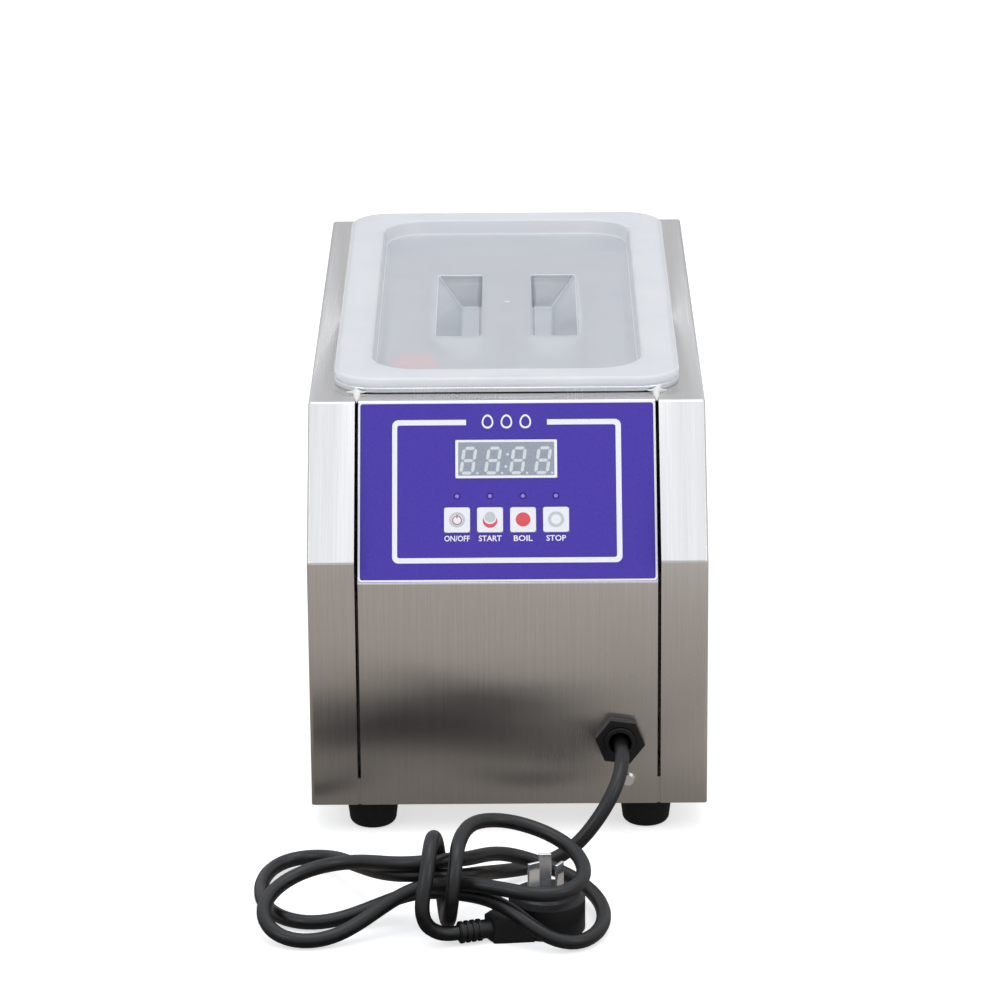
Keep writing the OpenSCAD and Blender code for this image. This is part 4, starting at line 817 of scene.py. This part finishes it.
def loft(bm, loops):
    for a, b in zip(loops, loops[1:]):
        for i in range(len(a)):
            j = (i + 1) % len(a)
            bm.faces.new((a[i], a[j], b[j], b[i]))


def loop_edges(bm, loop):
    return [bm.edges.get((a, b)) or bm.edges.new((a, b))
            for a, b in zip(loop, loop[1:] + loop[:1])]


def pocket_at(side, share):
    """Outline of a finger pocket at a share of its depth; only its outer wall leans."""
    x0, x1 = 13.5 + 1.3 * share, 38 - 13.5 * share
    if side < 0:
        x0, x1 = -x1, -x0
    return (x0, x1, 171 + 13 * share, 290 - 13 * share, 2.0)


def arc(radius, steps=4):
    """Sine and versine of a quarter circle, for rounding an edge."""
    return [(radius * math.sin(a), radius * (1 - math.cos(a)))
            for a in (math.pi / 2 * i / steps for i in range(steps + 1))]


FLANGE = (-88, 88, 66.7, 391.7, 22)
RECESS = (-69, 69, 83.7, 373.5, 24)
RIM_Z, LID_Z, PANEL_Z, POCKET_Z = 216.0, 221.0, 212.6, 196.9


def lid_surface(bm, thick):
    """Upper surface of the lid for thick 0, or the lower one, thick millimetres in."""
    top, panel, floor = LID_Z - thick, PANEL_Z - thick, POCKET_Z - thick
    edge, brow, foot = (1.6, 1.2, 2.0) if thick == 0 else (0.8, 0.4, 2.6)
    skirt = -2.5 if thick else 0
    loops = [lid_loop(bm, skirt, RIM_Z, FLANGE)]
    if not thick:
        loops = [lid_loop(bm, grow, RIM_Z + rise, FLANGE)
                 for grow, rise in ((-1.0, 0), (-1.0, 0.6), (-0.3, 0.9), (0, 1.5))]
    loops += [lid_loop(bm, skirt - v, top - edge + s, FLANGE) for s, v in arc(edge)]
    loops += [lid_loop(bm, thick + brow - s, top - v, RECESS) for s, v in arc(brow)]
    loops += [lid_loop(bm, thick - 1.2 - v, panel + foot - s, RECESS)
              for s, v in arc(foot)]
    loft(bm, loops)
    edges = loop_edges(bm, loops[-1])
    for side in (-1, 1):
        lip, toe = (0.6, 1.2) if thick == 0 else (0.3, 2.0)
        deep = panel - floor
        walls = [lid_loop(bm, thick + lip - s, panel - v, pocket_at(side, v / deep), 5)
                 for s, v in arc(lip, 3)]
        walls += [lid_loop(bm, thick - v, floor + toe - s,
                           pocket_at(side, (deep - toe + s) / deep), 5)
                  for s, v in arc(toe, 3)]
        loft(bm, walls)
        edges += loop_edges(bm, walls[0])
        bm.faces.new(walls[-1])
    bmesh.ops.triangle_fill(bm, use_beauty=True, use_dissolve=False, edges=edges)
    return loops[0]


bm = bmesh.new()
upper = lid_surface(bm, 0)
lower = lid_surface(bm, 2.2)
loft(bm, [upper, lower])
bmesh.ops.recalc_face_normals(bm, faces=bm.faces)
MILKY, HAZY, POLISHED = range(3)


def lid_finish(face):
    """The finish of a face of the lid, in machine millimetres."""
    mid, n = face.calc_center_median(), face.normal
    in_pocket = abs(mid.x) < 42 and 168 < mid.y < 293 and mid.z < PANEL_Z - 0.3
    lip = in_pocket and mid.z > PANEL_Z - 0.7
    upright_wall_painted_bright = not in_pocket and abs(n.z) < 0.6
    # Painted highlight and painted reflection: the pockets' lips and the upright walls
    # outside the pockets take the whitest finish, for the white lines and bright bands of
    # light on the clear edges.
    if lip or upright_wall_painted_bright or mid.z > LID_Z - 3.5:
        return MILKY
    rear_wall = abs(n.y) > 0.5 and mid.y > 230
    if in_pocket and (abs(n.z) < 0.6 or rear_wall) or n.z < -0.7:
        return POLISHED
    return HAZY


for f in bm.faces:
    f.material_index = lid_finish(f)
lid = keep("moulded_lid", bake_mesh(bm, "moulded_lid", MACHINE), [milky, hazy, polished],
           "lid", ["lid"])
weigh = lid.modifiers.new("weigh", "WEIGHTED_NORMAL")
weigh.keep_sharp = True
open_edges = sum(1 for e in lid.data.edges if e.is_loose)
print("lid faces", len(lid.data.polygons), "loose edges", open_edges)

# %% [markdown]
# Two small marks are left by the mould: the gate, where the plastic was let in, is a
# pip between the pockets, and a plain raised pad sits on the front of the flange. Both
# start a little inside the lid, so that no gap shows round them.

# %% Mould marks on the lid
bm = bmesh.new()
prism(bm, circle_outline(0.2, 234, 1.4, 20), PANEL_Z - 0.05, PANEL_Z + 0.35)
prism(bm, rounded_outline(-16, 11, 69.5, 81.5, 0.8, 4), LID_Z - 0.05, LID_Z + 0.2)
marks = keep("mould_marks", bake_mesh(bm, "mould_marks", MACHINE), milky, "lid")
print("mould marks", len(marks.data.polygons), "faces")

# %% [markdown]
# ## The control panel
# The overlay's prints are thin layers of ink, a few hundredths of a millimetre above the
# film. They are modelled as flat shapes on the slope: a border line, a frame that is open
# at the top, a row of plain egg shapes in that opening, the display's border and the
# words under the keys. The words say what each key does and nothing else.

# %% Prints on the film
INK_LOW, INK_HIGH = 0.4, 0.44
bm = bmesh.new()
band(bm, rounded_outline(-74.6, 74.6, 0.8, 94.48, 1.5, 6),
     rounded_outline(-73.7, 73.7, 1.7, 93.58, 1.3, 6), INK_LOW - 0.02, INK_HIGH)


def open_frame(x0, x1, y0, y1, r, left, right):
    """Outline of a frame from one side of its top opening round to the other."""
    points = [(left, y1)]
    for cx, cy, start in ((x0 + r, y1 - r, 90), (x0 + r, y0 + r, 180),
                          (x1 - r, y0 + r, 270), (x1 - r, y1 - r, 0)):
        for i in range(7):
            a = math.radians(start + 15 * i)
            points.append((cx + r * math.cos(a), cy + r * math.sin(a)))
    return points + [(right, y1)]


band(bm, open_frame(-57.6, 57.3, 10.3, 85.0, 3.2, -20.5, 20.2),
     open_frame(-55.1, 54.6, 13.0, 82.2, 1.2, -20.5, 20.2), INK_LOW - 0.02, INK_HIGH,
     closed=False)


def egg_outline(x, y, r, steps=36):
    """Plain egg: a circle that is stretched upwards and narrows a little on top."""
    return [(x + r * math.cos(a) * (1 - 0.12 * math.sin(a)), y + 1.28 * r * math.sin(a))
            for a in (2 * math.pi * i / steps for i in range(steps))]


for x in (-9.5, 0, 9.5):
    band(bm, egg_outline(x - 0.2, 84, 2.9), egg_outline(x - 0.2, 84, 2.1),
         INK_LOW - 0.02, INK_HIGH)
film_prints = keep("film_prints", bake_mesh(bm, "film_prints", SLOPE), white_ink,
                   "cabinet", flat=True)
print("film prints", len(film_prints.data.polygons), "faces")

# %% [markdown]
# The words are text objects, turned to mesh before they are moved to the slope. The
# letters are made a little bolder by an offset, as a screen print spreads its ink.

# %% Words under the keys
def words(text, x, u, height, width):
    """Mesh of a word centred on x, u, with its letters' height and the word's width."""
    data = bpy.data.curves.new(text, "FONT")
    data.body, data.align_x, data.align_y = text, "CENTER", "CENTER"
    data.size, data.extrude, data.offset = 4.0, 0.02, 0.06
    data.resolution_u = 3
    letter = bpy.data.objects.new("word", data)
    bpy.context.collection.objects.link(letter)
    mesh = bpy.data.meshes.new_from_object(
        letter.evaluated_get(bpy.context.evaluated_depsgraph_get()))
    bpy.data.objects.remove(letter)
    xs, ys = [v.co.x for v in mesh.vertices], [v.co.y for v in mesh.vertices]
    across, tall = max(xs) - min(xs), max(ys) - min(ys)
    mid = Vector(((max(xs) + min(xs)) / 2, (max(ys) + min(ys)) / 2, 0))
    mesh.transform(Matrix.Translation((x, u, INK_LOW + 0.02))
                   @ Matrix.Diagonal((width / across, height / tall, 1, 1))
                   @ Matrix.Translation(-mid))
    return mesh


captions = bmesh.new()
for x, text, width in zip(KEY_XS, ("ON/OFF", "START", "BOIL", "STOP"),
                          (12.7, 11.4, 9.4, 9.8)):
    word = words(text, x, 23.05, 3.0, width)
    captions.from_mesh(word)
mesh = bpy.data.meshes.new("key_words")
captions.to_mesh(mesh)
captions.free()
mesh.materials.clear()
mesh.transform(SLOPE)
key_words = keep("key_words", mesh, white_ink, "cabinet", flat=True)
print("key words", len(key_words.data.polygons), "faces")

# %% [markdown]
# The display is switched off: a grey filter with four pale seven-segment digits, their
# points and a colon. Segments lean eight degrees, as on most display modules. All of it
# is drawn 0.02 to 0.04 mm proud of the film, so that no two faces share a plane.

# %% Display
bm = bmesh.new()
band(bm, rounded_outline(-25.9, 25.1, 54.4, 74.4, 0.9, 4),
     rounded_outline(-24.5, 23.7, 55.7, 73.2, 0.3, 4), INK_LOW - 0.02, INK_HIGH)
display_border = keep("display_border", bake_mesh(bm, "display_border", SLOPE), white_ink,
                      "cabinet", flat=True)
LEAN = math.tan(math.radians(8))
DIGIT_W, DIGIT_H, BAR = 7.4, 14.6, 1.65
bm = bmesh.new()


def segment(bm, x0, y0, x1, y1, cx, cy):
    """One bar of a digit with bevelled ends, leaning with the digit."""
    along = Vector((x1 - x0, y1 - y0))
    n = along.normalized()
    side = Vector((-n.y, n.x)) * BAR / 2
    a, b = Vector((x0, y0)) + n * 0.35, Vector((x1, y1)) - n * 0.35
    tip = n * BAR / 2
    shape = [a, a + tip - side, b - tip - side, b, b - tip + side, a + tip + side]
    prism(bm, [(cx + p.x + p.y * LEAN, cy + p.y) for p in shape], 0.38, 0.42)


for cx in (-19.4, -7.0, 5.5, 18.1):
    w, h = (DIGIT_W - BAR) / 2, (DIGIT_H - BAR) / 2
    cy = 63.55
    for x0, y0, x1, y1 in ((-w, h, w, h), (-w, 0, w, 0), (-w, -h, w, -h), (-w, 0, -w, h),
                           (w, 0, w, h), (-w, -h, -w, 0), (w, -h, w, 0)):
        segment(bm, x0, y0, x1, y1, cx, cy)
    prism(bm, circle_outline(cx + 4.5, 56.95, 0.62, 16), 0.38, 0.42)
for x, u in ((0.3, 66.8), (-0.6, 60.4)):
    prism(bm, circle_outline(x, u, 0.7, 16), 0.38, 0.42)
digits = keep("display_digits", bake_mesh(bm, "display_digits", SLOPE), segment_white,
              "cabinet", flat=True)
print("display", len(display_border.data.polygons) + len(digits.data.polygons), "faces")

# %% [markdown]
# The lamps are epoxy light guides behind the film: only a dot under two millimetres wide
# shows, in a collar of the film's own colour. Each is turned from one profile.

# %% Lamps
bm = bmesh.new()
for x in KEY_XS:
    prism(bm, circle_outline(x, 45, 1.9, 24), -9.5, -4.0, 0)
    rings = []
    for r, w in ((1.5, -4.2), (1.5, 0.1), (1.4, 0.25), (0.95, 0.3), (0.85, 0.36), (0.4, 0.4)):
        rings.append([bm.verts.new((px, py, w))
                      for px, py in circle_outline(x, 45, r, 24)])
    loft(bm, rings)
    for ring in rings[:4]:
        for v in ring:
            for f in v.link_faces:
                f.material_index = 0
    cap = bm.faces.new(rings[-1])
    bm.faces.new(rings[0][::-1])
    cap.material_index = 1
    for v in rings[4]:
        for f in v.link_faces:
            f.material_index = 1
lamps = keep("lamp_guides", bake_mesh(bm, "lamp_guides", SLOPE), [film, lamp_lens],
             "cabinet", ["indicator_lamps"])
print("lamps", len(lamps.data.polygons), "faces")

# %% [markdown]
# The keys are white caps that move 0.4 mm. Their symbols are printed on them, so each
# symbol rides on its own key: a ring with a tick, a crescent, a disc and a pale ring.

# %% Keys and their symbols
KEYS = ("key_power", "key_start", "key_boil", "key_stop")
BODIES = ("power_key", "start_key", "boil_key", "stop_key")
for node, body in zip(KEYS, BODIES):
    softened(node, 0.3, cap_white, body, 3,
             where=lambda m: m.z - 134.5 - 0.3 > 0)
TOP, LAYER = 0.89, 0.02


def symbol(name, body, draw, finishes):
    bm = bmesh.new()
    draw(bm)
    return keep(name, bake_mesh(bm, name, SLOPE), finishes, body, flat=True)


def ring_outline(x, u, r):
    return circle_outline(x, u, r, 40)


def power_symbol(bm):
    x = KEY_XS[0]
    band(bm, ring_outline(x, 32.6, 4.0), ring_outline(x, 32.6, 2.7), TOP, TOP + LAYER, 0)
    band(bm, ring_outline(x, 32.4, 2.45), ring_outline(x, 32.4, 1.95), TOP, TOP + LAYER, 1)
    prism(bm, [(x - 0.25, 33.3), (x + 0.25, 33.3), (x + 0.25, 35.5), (x - 0.25, 35.5)],
          TOP, TOP + 2 * LAYER, 1)


def start_symbol(bm):
    x = KEY_XS[1]
    prism(bm, ring_outline(x, 32.0, 3.65), TOP, TOP + LAYER, 0)
    prism(bm, ring_outline(x, 33.5, 3.2), TOP, TOP + 2 * LAYER, 1)
    prism(bm, ring_outline(x, 33.9, 2.75), TOP, TOP + 3 * LAYER, 2)


def boil_symbol(bm):
    prism(bm, ring_outline(KEY_XS[2], 32.6, 3.7), TOP, TOP + LAYER, 0)


def stop_symbol(bm):
    band(bm, ring_outline(KEY_XS[3], 32.6, 4.1), ring_outline(KEY_XS[3], 32.6, 2.5),
         TOP, TOP + LAYER, 0)


symbol("power_symbol", "power_key", power_symbol, [grey_ink, rose_ink])
symbol("start_symbol", "start_key", start_symbol, [red_ink, cap_white, grey_ink])
symbol("boil_symbol", "boil_key", boil_symbol, [red_ink])
symbol("stop_symbol", "stop_key", stop_symbol, [grey_ink])
print(len(KEYS), "keys with a symbol each")

# %% [markdown]
# The rim is sealed to the deck with silicone, smeared by finger: straight strips under
# the long sides, and a lump at each front corner that has run down into the seam. The
# lumps are drawn as beads whose radius wanders, with fixed noise so that every run gives
# the same shape.

# %% Sealant
def bead(bm, path_, radii, sides=14):
    """Lumpy closed tube along a path, with one radius for each point."""
    rings = []
    for i, (p, r) in enumerate(zip(path_, radii)):
        p = Vector(p)
        t = (Vector(path_[min(i + 1, len(path_) - 1)])
             - Vector(path_[max(i - 1, 0)])).normalized()
        u = t.orthogonal().normalized()
        v = t.cross(u)
        ring = []
        for k in range(sides):
            a = 2 * math.pi * k / sides
            d = math.cos(a) * u + math.sin(a) * v
            ring.append(bm.verts.new(p + d * r * (1 + 0.25 * noise.noise(0.8 * p + 2 * d))))
        rings.append(ring)
    loft(bm, rings)
    bm.faces.new(rings[0][::-1])
    bm.faces.new(rings[-1])


bm = bmesh.new()
for s in (-1, 1):
    x0, x1 = sorted((s * 77.1, s * 86.2))
    prism(bm, [(x0, 88.7), (x1, 88.7), (x1, 369.7), (x0, 369.7)], 213, 215.2)
    bead(bm, [(s * x, 65.9 - 0.3 * math.sin(2 * x), 214.2) for x in
              (71, 73, 75, 77, 79, 81)], [0.2, 0.6, 1.0, 0.9, 0.6, 0.2])
    bead(bm, [(s * 75.7, y, z) for y, z in ((66.5, 214.6), (65.6, 213.9), (63.5, 213.2),
                                            (60.5, 213), (57.5, 212.8), (55, 212))],
         [0.6, 1.9, 1.9, 1.5, 1.0, 0.4])
seal = keep("silicone_seal", bake_mesh(bm, "silicone_seal", MACHINE), sealant, "cabinet",
            ["rim_sealant"])
print("sealant", len(seal.data.polygons), "faces")

# %% [markdown]
# ## The studio
# The floor is a pale sweep. Its colour makes the white background: the camera sees it
# lit, with the shadow that the machine drops on it. Steel mirrors what is round it, and
# the real machine's lower front mirrors a dimmer floor than the camera sees. So glossy rays
# find a painted shade on the floor: a grey near the machine that is white further off,
# darkest round the coiled lead, and a little lighter to the right.

# %% Floor
HALF_SIZE = {"X": 0.1, "Y": 0.227}
LEAD_MIDDLE, LEAD_REACH = (-0.045, -0.385), (0.11, 0.055)
floor_mesh = bpy.data.meshes.new("floor")
bm = bmesh.new()
bmesh.ops.create_grid(bm, x_segments=1, y_segments=1, size=8)
bm.to_mesh(floor_mesh)
bm.free()
floor = bpy.data.objects.new("floor", floor_mesh)
bpy.context.collection.objects.link(floor)
paper = bpy.data.materials.new("paper_floor")
paper.use_nodes = True
tree = paper.node_tree
tree.nodes.clear()
path = add(tree, "ShaderNodeLightPath")
lit = add(tree, "ShaderNodeBsdfDiffuse", {"Color": linear("#E8E8E8")})
base_glow = add(tree, "ShaderNodeEmission", {"Strength": 0.62})
seen = add(tree, "ShaderNodeAddShader", links={0: lit.outputs[0], 1: base_glow.outputs[0]})
place = add(tree, "ShaderNodeTexCoord")
split = add(tree, "ShaderNodeSeparateXYZ", links={0: place.outputs["Object"]})
beside, before = (add(tree, "ShaderNodeMath", {"operation": "SUBTRACT", 1: half},
                      {0: add(tree, "ShaderNodeMath", {"operation": "ABSOLUTE"},
                              {0: split.outputs[axis]}).outputs[0]})
                  for axis, half in HALF_SIZE.items())
nearest = add(tree, "ShaderNodeMath", {"operation": "MAXIMUM"},
              {0: beside.outputs[0], 1: before.outputs[0]})
# Painted light: the painted grey lightens a little to the right.
to_right = add(tree, "ShaderNodeMapRange", {
    "From Min": 0.0, "From Max": 0.12, "To Min": 0.0, "To Max": 0.13},
    {"Value": split.outputs["X"]})
away = add(tree, "ShaderNodeMath", {"operation": "ADD"},
           {0: nearest.outputs[0], 1: to_right.outputs[0]})
distance = add(tree, "ShaderNodeMapRange", {"From Min": 0.0, "From Max": 0.8},
               {"Value": away.outputs[0]})
# Painted shade, seen only by glossy rays: grey near the machine, white further off.
ramp = add(tree, "ShaderNodeValToRGB", links={0: distance.outputs[0]})
stops = ramp.color_ramp.elements
stops[0].position, stops[0].color = 0.05, linear("#78736F")
stops[1].position, stops[1].color = 0.85, linear("#F2F2F3")
for place_, tone in ((0.2, "#8E8883"), (0.3, "#B0A9A3"), (0.55, "#B9B2AC")):
    stops.new(place_).color = linear(tone)
# Painted shade round the coiled lead: an ellipse that darkens the floor that glossy rays see.
under_lead = add(tree, "ShaderNodeVectorMath", {"operation": "MULTIPLY_ADD",
                 1: (*(1 / r for r in LEAD_REACH), 0),
                 2: (*(-m / r for m, r in zip(LEAD_MIDDLE, LEAD_REACH)), 0)},
                 {0: place.outputs["Object"]})
off_lead = add(tree, "ShaderNodeVectorMath", {"operation": "LENGTH"},
               {0: under_lead.outputs[0]})
lead_painted_shade = add(tree, "ShaderNodeMapRange", {
    "From Min": 0.35, "From Max": 1.1, "To Min": 0.1, "To Max": 1.0},
    {"Value": off_lead.outputs["Value"]})
mirrored = add(tree, "ShaderNodeEmission", links={
    "Color": ramp.outputs[0], "Strength": lead_painted_shade.outputs[0]})
pick = add(tree, "ShaderNodeMixShader", links={
    0: path.outputs["Is Glossy Ray"], 1: seen.outputs[0], 2: mirrored.outputs[0]})
add(tree, "ShaderNodeOutputMaterial", links={"Surface": pick.outputs[0]})
floor_mesh.materials.append(paper)
print("floor with", len(tree.nodes), "shader nodes")

# %% [markdown]
# The room is white and brighter overhead than at the horizon. Steel and the lid show it
# as the camera sees it, while the light that it sheds on paint and plastic is dimmer,
# because three large softboxes add to it: one overhead, one on each side in front.
# Together they give the level at which a colour renders about as it is written.

# %% World and softboxes
world = bpy.data.worlds.new("white_room")
bpy.context.scene.world = world
world.use_nodes = True
tree = world.node_tree
tree.nodes.clear()
place = add(tree, "ShaderNodeTexCoord")
split = add(tree, "ShaderNodeSeparateXYZ", links={0: place.outputs["Generated"]})
ramp = add(tree, "ShaderNodeValToRGB", links={0: split.outputs["Z"]})
stops = ramp.color_ramp.elements
stops[0].position, stops[0].color = 0.0, (0.5, 0.5, 0.51, 1)
stops[1].position, stops[1].color = 0.85, (0.99, 1.03, 1.09, 1)
low = stops.new(0.42)
low.color = (0.6, 0.61, 0.64, 1)
high = stops.new(0.74)
high.color = (0.95, 0.99, 1.05, 1)
dim = add(tree, "ShaderNodeBackground", {"Strength": 0.74}, {"Color": ramp.outputs[0]})
bright_room = add(tree, "ShaderNodeBackground", {"Strength": 1.2}, {"Color": ramp.outputs[0]})
white = add(tree, "ShaderNodeBackground", {"Color": (1, 1, 1, 1), "Strength": 1.0})
path = add(tree, "ShaderNodeLightPath")
mirrored = add(tree, "ShaderNodeMath", {"operation": "MAXIMUM"}, {
    0: path.outputs["Is Glossy Ray"], 1: path.outputs["Is Transmission Ray"]})
room = add(tree, "ShaderNodeMixShader", links={
    0: mirrored.outputs[0], 1: dim.outputs[0], 2: bright_room.outputs[0]})
pick = add(tree, "ShaderNodeMixShader", links={
    0: path.outputs["Is Camera Ray"], 1: room.outputs[0], 2: white.outputs[0]})
add(tree, "ShaderNodeOutputWorld", links={"Surface": pick.outputs[0]})


def softbox(name, place_, size, power):
    """Square area lamp that faces the machine."""
    lamp = bpy.data.lights.new(name, "AREA")
    lamp.shape, lamp.size, lamp.energy = "SQUARE", size, power
    holder = bpy.data.objects.new(name, lamp)
    bpy.context.collection.objects.link(holder)
    holder.location = place_
    aim = Vector((0, 0, 0.12)) - Vector(place_)
    holder.rotation_euler = aim.to_track_quat("-Z", "Y").to_euler()
    return holder


softbox("overhead_softbox", (0.1, -0.2, 2.2), 1.4, 9)
softbox("left_softbox", (-1.7, -1.5, 1.5), 1.0, 6)
softbox("right_softbox", (1.7, -1.3, 1.3), 1.0, 5)
print(len(bpy.data.lights), "softboxes")
